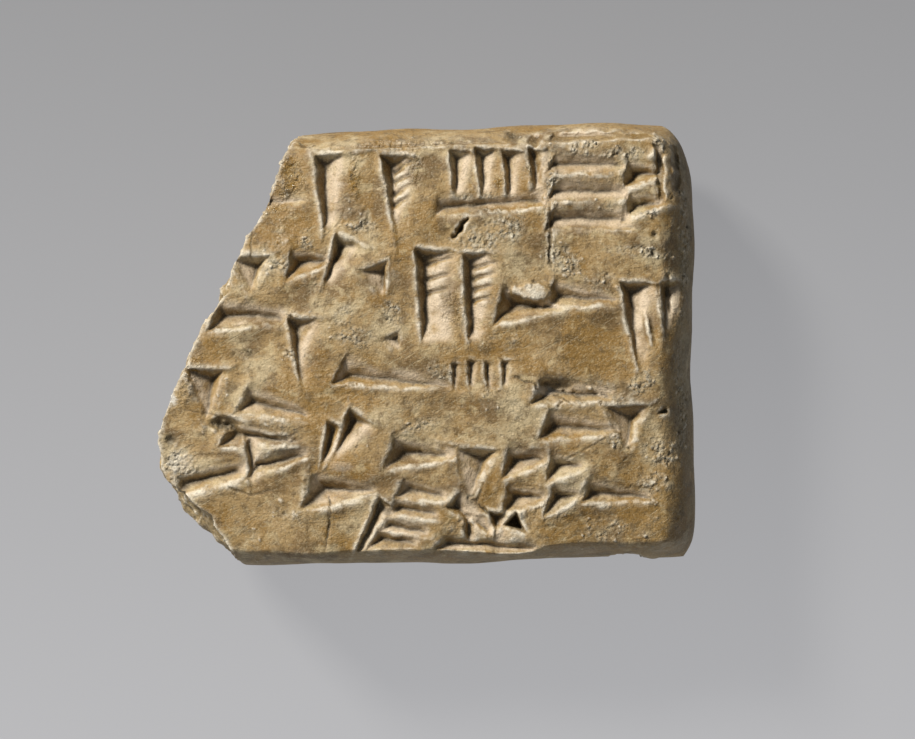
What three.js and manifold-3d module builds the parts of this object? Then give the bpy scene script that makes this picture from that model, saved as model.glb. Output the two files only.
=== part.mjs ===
// A broken piece of a small clay writing tablet, lying on its back with the written face up.
// Millimetres, +Z up. +X runs along the lines of writing, +Y towards the top line.
// The origin is on the resting face, under the middle of the piece.
import * as THREE from "three";
import { ConvexGeometry } from "three/addons/geometries/ConvexGeometry.js";
import { mergeVertices } from "three/addons/utils/BufferGeometryUtils.js";
import Module from "manifold-3d";

const { lerp, clamp, smoothstep, degToRad } = THREE.MathUtils;

// ---- The lump of clay ----
const THICKNESS = 17; // from the resting face to the crown of the written face
const FACE_SAG = { alongX: 0.0016, alongY: 0.0021 }; // how fast the written face falls away, per mm
const BACK_RISE = { alongX: 0.0022, alongY: 0.0034 }; // the same for the back, which is fuller
const BACK_SUNK = 0.45; // how far the back would bulge below the surface that pressed it flat
const SIDE_LOW = 6.4; // the rolled sides stand upright between these two heights
const SIDE_HIGH = 10.2;
const FACE_ROLL = { right: 3.4, top: 2.2, bottom: 1.7 }; // width of each rolled edge, seen from above
const BACK_ROLL = { right: 5.2, top: 4.8, bottom: 4.6 };
const FACE_POWER = 1.65; // 2 rolls over in an even curve; less gives the face a clearer shoulder
const BACK_POWER = 2.1;
const REACH_Y = 19.6; // half the width across the lines

// ---- The outline, seen from above ----
const TOP_EDGE = [[-11, 18.45], [0, 19.1], [9, 19.3], [17, 19.65], [22, 19.5]]; // [x, y]
const BOTTOM_EDGE = [[-16.3, -19.6], [3, -19.4], [12, -19], [22, -18.75]]; // [x, y]
const RIGHT_SIDE = [[-19.6, 23.9], [-14, 24.1], [-5, 23.5], [3, 23.65], [12, 23.75], [19.6, 23.6]]; // [y, x]
const TOP_CORNER = { along: 7.6, across: 3 }; // how far the rounding runs down the side and along the edge
const BOTTOM_CORNER = { along: 4.4, across: 2.7 };
const BREAK = [
  // [y, x] of the outermost line of the break
  [-19.6, -16.6], [-16, -21.1], [-13.8, -22.8], [-10.9, -24], [-8.5, -24], [-4.6, -22.4],
  [-0.6, -20.7], [6.4, -17.7], [10.4, -14.8], [12.6, -13.8], [17.3, -12.3], [18.7, -11.2], [19.6, -10.2],
];
const BREAK_FACE_INSET = [
  // [y, mm] from that line in to the edge of the written face
  [-19.6, 0.5], [-18.5, 1.2], [-16.7, 2.5], [-15, 3.2], [-13.4, 2.3], [-12, 0.9], [-6, 0.3], [1.5, 0.4],
  [4.2, 1.1], [7, 0.7], [9, 0.2], [19.6, 0.2],
];
const BREAK_BACK_INSET = [[-19.6, 0.6], [-13, 2.6], [-6, 3.4], [2, 2.2], [9, 2.9], [19.6, 1.2]];
// Ridges left where the clay tore: [depth in mm, turns per mm along y, turns per mm up, start].
const TEARS = [[0.55, 0.62, 0.3, 0.2], [0.5, -0.37, 0.41, 1], [0.3, 1.35, -0.62, 0.5]];
const TEAR_MIDDLE = 0.5; // taken off in mm, so that the ridges stand either side of the break's line

// ---- Grid of the uncut lump ----
const CELLS = { x: 30, y: 26, z: 7 };
const ROLL_SHARE = 0.15; // share of the cells that a rolled edge takes

// ---- The writing ----
const CLEARANCE = 1.6; // how far a tool that presses a stroke stands above the clay
const STROKES = {
  // length, width of the head and tail, depth, where the deepest point lies across the head (0 to 1)
  // and how far behind the head's edge it lies, and how far that edge slants
  upright: { length: 6.4, head: 3.3, tail: 1.2, depth: 1.2, lean: 0.28, setback: 1, skew: 0.1 },
  level: { length: 6, head: 2.6, tail: 0.8, depth: 1.05, lean: 0.38, setback: 1.2, skew: 0.4 },
  hook: { length: 4, head: 3.7, tail: 0.4, depth: 1.15, lean: 0.62, setback: 1.1, skew: 0 },
  rib: { length: 2.1, head: 0.62, tail: 0.5, depth: 0.34, lean: 0.5, setback: 0.2, skew: 0 },
  rule: { length: 5.3, head: 0.44, tail: 0.44, depth: 0.26, lean: 0.3, setback: 0.2, skew: 0 },
};
const TAIL_SLOPE = 0.9; // how steeply the far end of a stroke comes up
const DOWN = -90;
const RIGHTWARD = 0;
const LINE_TOPS = [16.4, 8.4, 0.8, -3.2, -9.4, -14.2]; // the lines crowd together towards the bottom

/** The knot [place, value] before a place, and the share of the way from it to the next one. */
function between(knots, at) {
  const next = knots.findIndex(([place]) => place >= at);
  const k = clamp((next < 0 ? knots.length : next) - 1, 0, knots.length - 2);
  return [k, clamp((at - knots[k][0]) / (knots[k + 1][0] - knots[k][0]), 0, 1)];
}

/** The value at a place on the straight segments through the knots, flat past their ends. */
function along(knots, at) {
  const [k, t] = between(knots, at);
  return lerp(knots[k][1], knots[k + 1][1], t);
}

/** The value at a place on the smooth line through the knots, flat past their ends. */
function through(knots, at) {
  const [k, t] = between(knots, at);
  const slope = (i, j) => (knots[j][1] - knots[i][1]) / (knots[j][0] - knots[i][0]);
  const span = knots[k + 1][0] - knots[k][0];
  const m0 = slope(Math.max(k - 1, 0), k + 1) * span;
  const m1 = slope(k, Math.min(k + 2, knots.length - 1)) * span;
  const rise = knots[k + 1][1] - knots[k][1];
  return knots[k][1] + t * (m0 + t * (3 * rise - 2 * m0 - m1 + t * (m0 + m1 - 2 * rise)));
}

/** How far the rounding of a corner takes the side in, `into` mm past where the rounding starts. */
function cornerDrop(corner, into) {
  const s = clamp(into / corner.along, 0, 1);
  return corner.across * (1 - Math.sqrt(1 - s * s));
}

function rightEdge(y) {
  return (
    through(RIGHT_SIDE, y) -
    cornerDrop(TOP_CORNER, y - (REACH_Y - TOP_CORNER.along)) -
    cornerDrop(BOTTOM_CORNER, -y - (REACH_Y - BOTTOM_CORNER.along))
  );
}

/** The break's left edge at y, with `rise` from 0 at the back to 1 at the written face. */
function leftEdge(y, rise) {
  const z = rise * THICKNESS;
  const inset =
    along(BREAK_FACE_INSET, y) * smoothstep(rise, 0.5, 1) +
    along(BREAK_BACK_INSET, y) * smoothstep(1 - rise, 0.35, 1);
  const ridges = TEARS.map(([deep, inY, inZ, start]) => deep * Math.abs(Math.sin(inY * y + inZ * z + start)));
  const torn = ridges.reduce((sum, one) => sum + one, -TEAR_MIDDLE);
  return along(BREAK, y) + inset + torn * smoothstep(1 - rise, 0.02, 0.25);
}

/** A slow three-dimensional unevenness, such as hands leave, as an offset in mm. */
function lumps(x, y, z) {
  return [
    0.11 * Math.sin(0.42 * y + 0.31 * z + 1.1) + 0.07 * Math.sin(0.83 * y - 0.52 * z),
    0.11 * Math.sin(0.37 * x - 0.28 * z + 0.4) + 0.07 * Math.sin(0.71 * x + 0.6 * z + 2),
    0.13 * Math.sin(0.33 * x + 0.47 * y + 2.2) + 0.09 * Math.sin(0.61 * x - 0.44 * y + 0.7),
  ];
}

/** Splits a share f from 0 to 1 of a grid line into its flat part and the turns of its rolled ends. */
function rolled(f, lowEnd, highEnd) {
  const low = lowEnd ? ROLL_SHARE : 0;
  const high = highEnd ? ROLL_SHARE : 0;
  return {
    flat: clamp((f - low) / (1 - low - high), 0, 1),
    low: low ? clamp((low - f) / low, 0, 1) * (Math.PI / 2) : 0,
    high: high ? clamp((f - 1 + high) / high, 0, 1) * (Math.PI / 2) : 0,
  };
}

function faceHeight(x, y) {
  return THICKNESS - FACE_SAG.alongX * x * x - FACE_SAG.alongY * y * y;
}

function backHeight(x, y) {
  return BACK_RISE.alongX * x * x + BACK_RISE.alongY * y * y - BACK_SUNK;
}

/** Places a point of the cube from -1 to 1 on the uncut lump. */
function place(a, b, c) {
  const rise = (c + 1) / 2;
  const fx = (a + 1) / 2;
  const fy = (b + 1) / 2;
  const roll = Object.fromEntries(
    Object.keys(FACE_ROLL).map((edge) => [edge, lerp(BACK_ROLL[edge], FACE_ROLL[edge], rise)]),
  );
  const power = 2 / lerp(BACK_POWER, FACE_POWER, rise);
  const out = (turn) => Math.sin(turn) ** power; // how far out a rolled edge is after a turn, of its reach
  const up = (turn) => Math.max(Math.cos(turn), 0) ** power; // and how far up
  const u = rolled(fx, false, true);
  const v = rolled(fy, true, true);
  const level = lerp(-REACH_Y, REACH_Y, fy);
  const near = lerp(leftEdge(level, rise), rightEdge(level), fx);
  const bottom = through(BOTTOM_EDGE, near) + roll.bottom;
  const top = through(TOP_EDGE, near) - roll.top;
  const y = lerp(bottom, top, v.flat) + roll.top * out(v.high) - roll.bottom * out(v.low);
  const x = lerp(leftEdge(y, rise), rightEdge(y) - roll.right, u.flat) + roll.right * out(u.high);
  const crown = up(u.high) * up(v.low) * up(v.high);
  const z = lerp(lerp(SIDE_LOW, backHeight(x, y), crown), lerp(SIDE_HIGH, faceHeight(x, y), crown), rise);
  const [dx, dy, dz] = lumps(x, y, z);
  return [x + dx, y + dy, Math.max(z + dz, 0)];
}

/** Height of the uncut written face over a point, following its rolled edges down. */
function surfaceAt(x, y) {
  const over = (past, width) => (1 - clamp(past / width, 0, 0.93) ** FACE_POWER) ** (1 / FACE_POWER);
  const crown =
    over(x - rightEdge(y) + FACE_ROLL.right, FACE_ROLL.right) *
    over(y - through(TOP_EDGE, x) + FACE_ROLL.top, FACE_ROLL.top) *
    over(through(BOTTOM_EDGE, x) + FACE_ROLL.bottom - y, FACE_ROLL.bottom);
  const z = lerp(SIDE_HIGH, faceHeight(x, y), crown);
  return z + lumps(x, y, z)[2];
}

/** The plane that touches the written face at a point. */
function tangentAt(x, y) {
  const step = 0.8;
  return {
    x,
    y,
    z: surfaceAt(x, y),
    slopeX: (surfaceAt(x + step, y) - surfaceAt(x - step, y)) / (2 * step),
    slopeY: (surfaceAt(x, y + step) - surfaceAt(x, y - step)) / (2 * step),
  };
}

function heightOn(plane, x, y) {
  return plane.z + plane.slopeX * (x - plane.x) + plane.slopeY * (y - plane.y);
}

/** One pressed stroke of a kind, resized by `size`, its head at (x, y), running `turn` degrees from +X. */
function stroke(kind, x, y, turn, size = {}, plane = null) {
  const form = { ...STROKES[kind], ...size };
  const angle = degToRad(turn);
  const run = [Math.cos(angle), Math.sin(angle)];
  const middle = [x + (run[0] * form.length) / 3, y + (run[1] * form.length) / 3];
  return { ...form, x, y, run, plane: plane ?? tangentAt(...middle) };
}

/** The point of a stroke `s` mm along it and `q` mm to its left, `depth` mm under the clay. */
function inStroke(mark, s, q, depth) {
  const x = mark.x + mark.run[0] * s - mark.run[1] * q;
  const y = mark.y + mark.run[1] * s + mark.run[0] * q;
  return new THREE.Vector3(x, y, heightOn(mark.plane, x, y) - depth);
}

/** The slopes of a stroke's walls, and where its sides run. */
function walls(mark) {
  const narrowing = (mark.head - mark.tail) / 2 / mark.length;
  const near = -mark.head / 2; // the steep side, at the head
  const deep = near + mark.lean * mark.head;
  return {
    narrowing,
    near,
    steep: mark.depth / (deep - near - narrowing * mark.setback),
    gentle: mark.depth / (-near - narrowing * mark.setback - deep),
  };
}

/** The closed tool that presses a stroke: four walls that meet below the clay, open to the top. */
function strokeTool(mark) {
  const { narrowing, near, steep, gentle } = walls(mark);
  const corner = (s, side, height, skew = 0) => {
    const edge = near + narrowing * s;
    const q = side < 0 ? edge - height / steep : -edge + height / gentle;
    return inStroke(mark, s + (skew * q) / (mark.head / 2), q, -height);
  };
  const headTop = (-CLEARANCE * mark.setback) / mark.depth;
  const tailTop = mark.length + CLEARANCE / TAIL_SLOPE;
  // The valley where the side walls meet gets shallower by `climb` per mm.
  const climb = (2 * narrowing * steep * gentle) / (steep + gentle);
  const valleyDepth = (s) => mark.depth - climb * (s - mark.setback);
  const end = (TAIL_SLOPE * mark.length - valleyDepth(0)) / (TAIL_SLOPE - climb);
  const valleyAt = (s) => inStroke(mark, s, near + narrowing * s + valleyDepth(s) / steep, valleyDepth(s));
  return new ConvexGeometry([
    corner(headTop, -1, CLEARANCE, mark.skew),
    corner(headTop, 1, CLEARANCE, mark.skew),
    corner(tailTop, -1, CLEARANCE),
    corner(tailTop, 1, CLEARANCE),
    valleyAt(mark.setback),
    valleyAt(end),
  ]);
}

/** The plane of a stroke's gentle wall, for what is pressed into it. */
function gentleWall(mark) {
  const { narrowing, near, gentle } = walls(mark);
  const depthAt = (s, q) => (-near - narrowing * s - q) * gentle;
  const [rx, ry] = mark.run;
  const perS = depthAt(1, 0) - depthAt(0, 0);
  const perQ = depthAt(0, 1) - depthAt(0, 0);
  return {
    x: mark.x,
    y: mark.y,
    z: heightOn(mark.plane, mark.x, mark.y) - depthAt(0, 0),
    slopeX: mark.plane.slopeX - (perS * rx - perQ * ry),
    slopeY: mark.plane.slopeY - (perS * ry + perQ * rx),
  };
}

const upright = (x, y, size) => [stroke("upright", x, y, DOWN, size)];
const level = (x, y, size, tilt = 0) => [stroke("level", x, y, RIGHTWARD + tilt, size)];
const hook = (x, y, size, tilt = 0) => [stroke("hook", x, y, DOWN + tilt, size)];
const slant = (x, y, tilt, size) => [stroke("upright", x, y, DOWN + tilt, size)];

/** A row of like strokes, `count` of them, each (stepX, stepY) from the last. */
function repeat(count, stepX, stepY, make) {
  return Array.from({ length: count }, (_, i) => make(i * stepX, i * stepY, i)).flat();
}

const comb = (x, y, count, pitch, size) =>
  repeat(count, pitch, 0, (dx, dy, i) => upright(x + dx, y + 0.25 * (i % 2), size));

const stack = (x, y, count, pitch, size, tilt = 0) =>
  repeat(count, 0, -pitch, (dx, dy) => level(x, y + dy, size, tilt));

/** Levels one under another, each starting a little further left. */
const stepped = (x, y, count, size) =>
  repeat(count, -0.8, -1.55, (dx, dy) => level(x + dx, y + dy, size, -8));

/** An upright with `count` short ribs pressed slantwise across its gentle wall. */
function ribbed(x, y, count, tilt, size) {
  const [main] = upright(x, y, size);
  const wall = gentleWall(main);
  const valley = x - main.head * (0.5 - main.lean) + 0.15;
  const pitch = (main.length * 0.52) / count;
  const ribs = repeat(count, 0, -pitch, (dx, dy) => {
    const length = main.head * (0.94 - main.lean) * (1 + (0.5 * dy) / main.length);
    return [stroke("rib", valley, y - main.setback - 0.35 + dy, tilt, { length }, wall)];
  });
  return [main, ...ribs];
}

/** The ruled line under the top edge, pressed in short runs that follow the clay. */
function ruling(x, y, runs, tilt) {
  const { length } = STROKES.rule;
  const drift = Math.sin(degToRad(tilt));
  return repeat(runs, length, length * drift, (dx, dy) => [stroke("rule", x + dx, y + dy, tilt)]);
}

/** Every stroke on the written face, line by line. The groups are only strokes and spell nothing. */
function writing() {
  const [first, second, third, fourth, fifth, last] = LINE_TOPS;
  return [
    ruling(-8.5, first + 0.5, 3, 2.2),
    // first line
    level(-14.2, first - 4.1, { length: 3.8, head: 1.9, depth: 0.55, setback: 0.5 }, 4),
    upright(-8.2, first, { tail: 1.6 }),
    ribbed(-2.4, first - 0.2, 4, 30, { length: 7.6, head: 3.2, tail: 0.5 }),
    comb(3, first + 0.2, 4, 2.3, { length: 4, head: 2.3, depth: 0.9, setback: 0.8 }),
    level(0.7, first - 4.6, { length: 9.4, head: 2, tail: 1.1, depth: 0.75 }, 5),
    hook(9.3, first + 2.4, { length: 3.6, head: 2.5, depth: 0.9 }),
    stack(10.7, first + 1.6, 4, 2.35, { length: 7, head: 2.2, tail: 1.7, depth: 0.72, setback: 0.5 }),
    stack(17.2, first - 1.7, 2, 2.7, { length: 3.6, head: 2.6, depth: 1.2, setback: 1.3 }, 6),
    comb(20.3, first + 0.8, 2, 1.7, { length: 4.8, head: 1.1, tail: 0.7, depth: 0.5, setback: 0.4 }),
    // second line
    hook(-15.3, second - 0.9, { length: 3.1 }),
    level(-12, second - 1.5, { length: 4.1, head: 2.7, lean: 0.5 }, 6),
    slant(-6.7, second + 0.5, -24, { length: 4.6, head: 2.7, tail: 1 }),
    hook(-4.7, second - 1.7, { length: 2.8, head: 2.8, lean: 0.72, depth: 0.95 }, 18),
    ribbed(0.7, second - 0.4, 3, 14, { length: 7.4, head: 3.5, tail: 2.2, lean: 0.22, setback: 0.8 }),
    ribbed(4.6, second - 0.7, 4, 14, { length: 7.4, head: 3.3, tail: 2, lean: 0.24, setback: 0.8 }),
    level(6.2, second - 4.9, { length: 5.4, head: 3.7, depth: 1.35, setback: 1.7 }, -2),
    level(10.6, second - 4.1, { length: 6.6, head: 2.8, tail: 0.9 }, -3),
    upright(18.5, second - 3.2, { length: 7, head: 3.5, tail: 0.5, lean: 0.3 }),
    hook(21.4, second - 3, { length: 5, head: 2.8, lean: 0.36, depth: 1 }, -6),
    // third line
    level(-18.5, third + 1.8, { length: 6.4, head: 2.9, tail: 1.4, depth: 1.1 }, -1),
    upright(-10.7, third + 1.3, { length: 5.5, head: 2.9, tail: 0.6, depth: 1.05 }),
    hook(-3.1, third - 0.1, { length: 1.7, head: 1.9, depth: 0.6, setback: 0.6 }, 30),
    level(-7.5, third - 3, { length: 16.5, head: 2.5, tail: 1, depth: 0.85, lean: 0.3 }, -6.5),
    comb(2.6, third - 2.5, 4, 1.45, { length: 2.5, head: 1.05, tail: 0.7, depth: 0.6, setback: 0.4 }),
    level(9.5, third - 4.7, { length: 6.4, head: 2.9, depth: 1.15, setback: 1.6 }, -5),
    // fourth line
    hook(-19.1, fourth + 0.9, { length: 4.6 }),
    level(-16, fourth - 1.6, { length: 6.5, tail: 1.4, lean: 0.46 }, -12),
    level(-17.5, fourth - 4.5, { length: 7, head: 2.4, tail: 0.9 }, -6),
    upright(-14.8, fourth - 4.7, { length: 4.2, head: 2.2, lean: 0.2, depth: 0.9, setback: 0.6 }),
    slant(-7.7, fourth - 3.8, -14, { length: 3.8, head: 1.9, depth: 0.95 }),
    slant(-5.5, fourth - 3.2, -32, { length: 4.8, head: 2.9, tail: 1 }),
    level(10.2, fourth - 3.8, { length: 7, head: 2.6 }, -3),
    hook(17.3, fourth - 2.2, { length: 4, head: 3.8, setback: 1.4 }),
    // fifth line
    level(-21.8, fifth - 2.9, { length: 6.6, head: 1.9, tail: 1.7, depth: 0.9 }, 14),
    level(-15.6, fifth - 1.3, { length: 5.4, head: 2, depth: 0.9 }, 14),
    level(-10.4, fifth - 3.1, { length: 6.6, head: 3.7, tail: 1.2, depth: 1.3, setback: 1.9 }),
    level(-3.3, fifth + 0.1, { length: 5.4, head: 3.2, depth: 1.2, setback: 1.8 }, -2),
    hook(4.1, fifth + 0.3, { length: 4.2, head: 4.2, lean: 0.7 }, -5),
    stack(6.8, fifth - 0.8, 2, 3.3, { length: 3.7, head: 2.8, lean: 0.5 }, 6),
    stack(10.5, fifth - 1.3, 2, 2.7, { length: 3.4, head: 2.6, lean: 0.5 }, 6),
    level(13.6, fifth - 3.4, { length: 5.8, head: 2.4, depth: 0.95 }, -3),
    // last line
    stepped(-2.4, last + 1.7, 3, { length: 4.5, head: 1.9, tail: 1.2, depth: 0.8 }),
    level(-4.9, last - 2.6, { length: 4.4, head: 2.5, tail: 1.2 }, -4),
    slant(-3.4, last + 0.5, -27, { length: 5.4, head: 1.9, tail: 0.9, depth: 0.9 }),
    slant(2.3, last + 0.9, 52, { length: 5, head: 2.4, depth: 0.85 }),
    comb(4, last - 0.7, 2, 2.4, { length: 2.8, head: 1.9, depth: 0.95, setback: 0.6 }),
    level(1, last - 2.9, { length: 8.6, head: 1.8, tail: 1, depth: 0.8 }, -4),
  ].flat();
}

/** Rounded bites out of the lump: [x, y, z, radii, turn in degrees]. */
const BITES = [
  { at: [17.6, -19.4, 10.8], radii: [1.8, 1.05, 9], turn: 4 }, // chip out of the bottom edge
  { at: [7.9, -15.6, 16], radii: [1.1, 0.8, 1.6], turn: -30 }, // deep hole between two strokes
  { at: [-17.9, -7.2, 16.3], radii: [1.2, 1, 1.1], turn: 10 }, // hollow by the break
  { at: [-22.3, -8, 16.2], radii: [0.9, 1.1, 1.3], turn: 0 }, // hollow on the break's edge
  { at: [8.3, 18.4, 16.6], radii: [0.8, 1, 1.2], turn: 0 }, // pit on the top edge
];

/** Flat spalls off the written face's broken corner: a point on each, and the way it faces. */
const SPALLS = [
  { at: [-21.6, -9.2, 15.9], facing: [-0.55, -0.12, 0.82], reach: 4 },
];

/** A three.js geometry as a manifold-3d solid. */
function solidOf(geometry, wasm) {
  const bare = new THREE.BufferGeometry().setAttribute("position", geometry.getAttribute("position"));
  if (geometry.index) bare.setIndex(geometry.index);
  const merged = mergeVertices(bare, 1e-4);
  const mesh = new wasm.Mesh({
    numProp: 3,
    vertProperties: merged.attributes.position.array,
    triVerts: new Uint32Array(merged.index.array),
  });
  return new wasm.Manifold(mesh);
}

/** The whole lump before anything is pressed into it. */
function lumpGeometry() {
  const geometry = new THREE.BoxGeometry(2, 2, 2, CELLS.x, CELLS.y, CELLS.z);
  geometry.deleteAttribute("normal");
  geometry.deleteAttribute("uv");
  const merged = mergeVertices(geometry, 1e-4);
  const position = merged.attributes.position;
  for (let i = 0; i < position.count; i++) {
    position.setXYZ(i, ...place(position.getX(i), position.getY(i), position.getZ(i)));
  }
  return merged;
}

function biteGeometry({ at, radii, turn }) {
  return new THREE.IcosahedronGeometry(1, 1)
    .scale(...radii)
    .rotateZ(degToRad(turn))
    .translate(...at);
}

function spallGeometry({ at, facing, reach }) {
  const turn = new THREE.Quaternion().setFromUnitVectors(
    new THREE.Vector3(0, 0, 1),
    new THREE.Vector3(...facing).normalize(),
  );
  return new THREE.BoxGeometry(reach * 2, reach * 2, reach)
    .translate(0, 0, reach / 2)
    .applyQuaternion(turn)
    .translate(...at);
}

async function tablet() {
  const wasm = await Module();
  wasm.setup();
  const tools = [
    ...writing().map(strokeTool),
    ...BITES.map(biteGeometry),
    ...SPALLS.map(spallGeometry),
  ];
  const cut = tools.map((tool) => solidOf(tool, wasm)).reduce((all, one) => all.add(one));
  const { vertProperties, numProp, triVerts } = solidOf(lumpGeometry(), wasm).subtract(cut).getMesh();
  const points = new Float32Array((vertProperties.length / numProp) * 3).map(
    (_, i) => vertProperties[Math.floor(i / 3) * numProp + (i % 3)],
  );
  const geometry = new THREE.BufferGeometry()
    .setAttribute("position", new THREE.BufferAttribute(points, 3))
    .setIndex(new THREE.BufferAttribute(triVerts, 1));
  geometry.computeBoundingBox();
  const { min, max } = geometry.boundingBox;
  geometry.translate(-(min.x + max.x) / 2, -(min.y + max.y) / 2, -min.z);
  geometry.computeVertexNormals();
  const clay = new THREE.MeshStandardMaterial({ color: 0xb39a6b, roughness: 0.78, metalness: 0 });
  clay.flatShading = true;
  const mesh = new THREE.Mesh(geometry, clay);
  mesh.name = "tablet";
  return mesh;
}

const object = new THREE.Group();
object.add(await tablet());

export default object;
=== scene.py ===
"""A broken piece of a small clay writing tablet, lying on its back in plain soft studio light.

Shapes are worked out in millimetres in the tablet's own frame: +X along the lines of writing, +Y towards
the first line and +Z out of the written face. They turn into metres as they become a mesh.
"""

import logging
import math
from collections.abc import Mapping, Sequence
from dataclasses import dataclass, field, replace
from enum import Enum
from typing import Any

import bpy
import numpy as np
from numpy.typing import NDArray
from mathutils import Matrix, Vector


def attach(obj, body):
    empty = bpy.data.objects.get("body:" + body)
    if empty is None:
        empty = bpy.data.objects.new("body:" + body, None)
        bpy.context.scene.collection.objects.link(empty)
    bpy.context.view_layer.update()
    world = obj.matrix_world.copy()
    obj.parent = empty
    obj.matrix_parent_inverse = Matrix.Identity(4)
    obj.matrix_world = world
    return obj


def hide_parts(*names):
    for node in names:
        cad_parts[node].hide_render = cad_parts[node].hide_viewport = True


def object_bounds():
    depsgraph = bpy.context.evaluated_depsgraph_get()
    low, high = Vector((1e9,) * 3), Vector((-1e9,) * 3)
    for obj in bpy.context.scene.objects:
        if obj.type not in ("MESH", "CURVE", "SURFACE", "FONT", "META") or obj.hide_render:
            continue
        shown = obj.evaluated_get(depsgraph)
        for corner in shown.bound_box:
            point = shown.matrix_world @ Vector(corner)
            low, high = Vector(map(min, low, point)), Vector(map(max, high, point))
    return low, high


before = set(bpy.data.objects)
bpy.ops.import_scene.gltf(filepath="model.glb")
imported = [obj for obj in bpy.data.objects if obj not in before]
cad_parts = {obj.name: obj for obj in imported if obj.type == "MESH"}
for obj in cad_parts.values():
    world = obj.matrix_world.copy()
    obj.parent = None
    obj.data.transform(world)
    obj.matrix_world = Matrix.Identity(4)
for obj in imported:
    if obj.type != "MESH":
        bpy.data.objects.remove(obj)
cad_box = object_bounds()

Array = NDArray[np.float32]
Knots = Sequence[tuple[float, float]]

MM = 0.001
log = logging.getLogger("tablet")


def along(knots: Knots, at: Array) -> Array:
    """Follows the straight segments through some knots.

    Args:
        knots: Pairs of a place and the value there, in order of place.
        at: The places asked for.

    Returns:
        The values there, flat past the first and last knots.
    """
    places, values = np.array(knots).T
    return np.interp(at, places, values)


def through(knots: Knots, at: Array) -> Array:
    """Follows the smooth line through some knots.

    Args:
        knots: Pairs of a place and the value there, in order of place.
        at: The places asked for.

    Returns:
        The values there, flat past the first and last knots.
    """
    places, values = np.array(knots).T
    k = np.clip(np.searchsorted(places, at) - 1, 0, len(places) - 2)
    span = places[k + 1] - places[k]
    t = np.clip((at - places[k]) / span, 0, 1)
    before, after = np.maximum(k - 1, 0), np.minimum(k + 2, len(places) - 1)
    m0 = (values[k + 1] - values[before]) / (places[k + 1] - places[before]) * span
    m1 = (values[after] - values[k]) / (places[after] - places[k]) * span
    rise = values[k + 1] - values[k]
    return values[k] + t * (m0 + t * (3 * rise - 2 * m0 - m1 + t * (m0 + m1 - 2 * rise)))


def ease(low: float, high: float, at: Array) -> Array:
    """Eases from 0 at low to 1 at high.

    Args:
        low: Where the rise starts.
        high: Where it ends. It may be under low, for a fall.
        at: The places asked for.

    Returns:
        The eased share at each place.
    """
    t = np.clip((at - low) / (high - low), 0, 1)
    return t * t * (3 - 2 * t)


def lower_of(a: Array, b: Array, soft: float) -> Array:
    """Takes the lower of two heights, with the crease between them rounded.

    Args:
        a: The first heights.
        b: The second heights.
        soft: How far apart the two may be and still blend, in the heights' unit.

    Returns:
        The blended lower heights.
    """
    t = np.clip(0.5 + 0.5 * (b - a) / soft, 0, 1)
    return b + (a - b) * t - soft * t * (1 - t)


class Noise:
    """Smooth random unevenness in three dimensions, the same on every run."""

    def __init__(self, seed: int) -> None:
        """Shuffles the table of slopes.

        Args:
            seed: Picks one unevenness out of many.
        """
        rng = np.random.default_rng(seed)
        self.order = rng.permutation(256).astype(np.int32)
        slopes = rng.normal(size=(256, 3))
        self.slopes = (slopes / np.linalg.norm(slopes, axis=1, keepdims=True)).astype(np.float32)
        self.shares = rng.random((256, 4)).astype(np.float32)

    def pick(self, cell: NDArray[np.int32]) -> NDArray[np.int32]:
        """Gives each whole-numbered cell, in rows of three, its own number from 0 to 255."""
        cell = cell & 255
        row = self.order[cell[:, 0]]
        row = self.order[(row + cell[:, 1]) & 255]
        return self.order[(row + cell[:, 2]) & 255]

    def at(self, places: Array) -> Array:
        """Reads the unevenness, whose swells are about one unit across.

        Args:
            places: Points, one a row.

        Returns:
            A value for each point, mostly between -1 and 1.
        """
        cell = np.floor(places).astype(np.int32)
        part = (places - cell).astype(np.float32)
        fade = part * part * part * (part * (part * 6 - 15) + 10)
        total = np.zeros(len(places), np.float32)
        for corner in np.ndindex(2, 2, 2):
            step = np.array(corner, np.int32)
            slope = self.slopes[self.pick(cell + step)]
            share = np.where(step == 1, fade, 1 - fade).prod(axis=1)
            total += share * np.einsum("ij,ij->i", slope, part - step)
        return total * 1.6

    def layers(self, places: Array, count: int, sharp: bool = False) -> Array:
        """Sums ever finer and weaker copies of the unevenness.

        Args:
            places: Points, one a row.
            count: How many copies.
            sharp: Folds each copy into ridges that point up.

        Returns:
            A value for each point, mostly between -1 and 1.
        """
        total = np.zeros(len(places), np.float32)
        for k in range(count):
            one = self.at(places * 2.03**k + 17.3 * k)
            total += (1 - 2 * np.abs(one) if sharp else one) * 0.5**k
        return total / (2 - 0.5 ** (count - 1))

    def spots(self, places: Array) -> tuple[Array, Array]:
        """Finds the nearest of the spots that are strewn one to each unit cell.

        Args:
            places: Points, one a row.

        Returns:
            The distance to that spot, right up to half a unit, and the spot's own four random shares.
        """
        corner = np.round(places).astype(np.int32)
        nearest = np.full(len(places), 9.0, np.float32)
        shares = np.zeros((len(places), 4), np.float32)
        for step in np.ndindex(2, 2, 2):
            cell = corner - np.array(step, np.int32)
            mine = self.shares[self.pick(cell)]
            distance = np.linalg.norm(places - cell - mine[:, :3], axis=1)
            closer = distance < nearest
            nearest[closer] = distance[closer]
            shares[closer] = mine[closer]
        return nearest, shares


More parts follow.
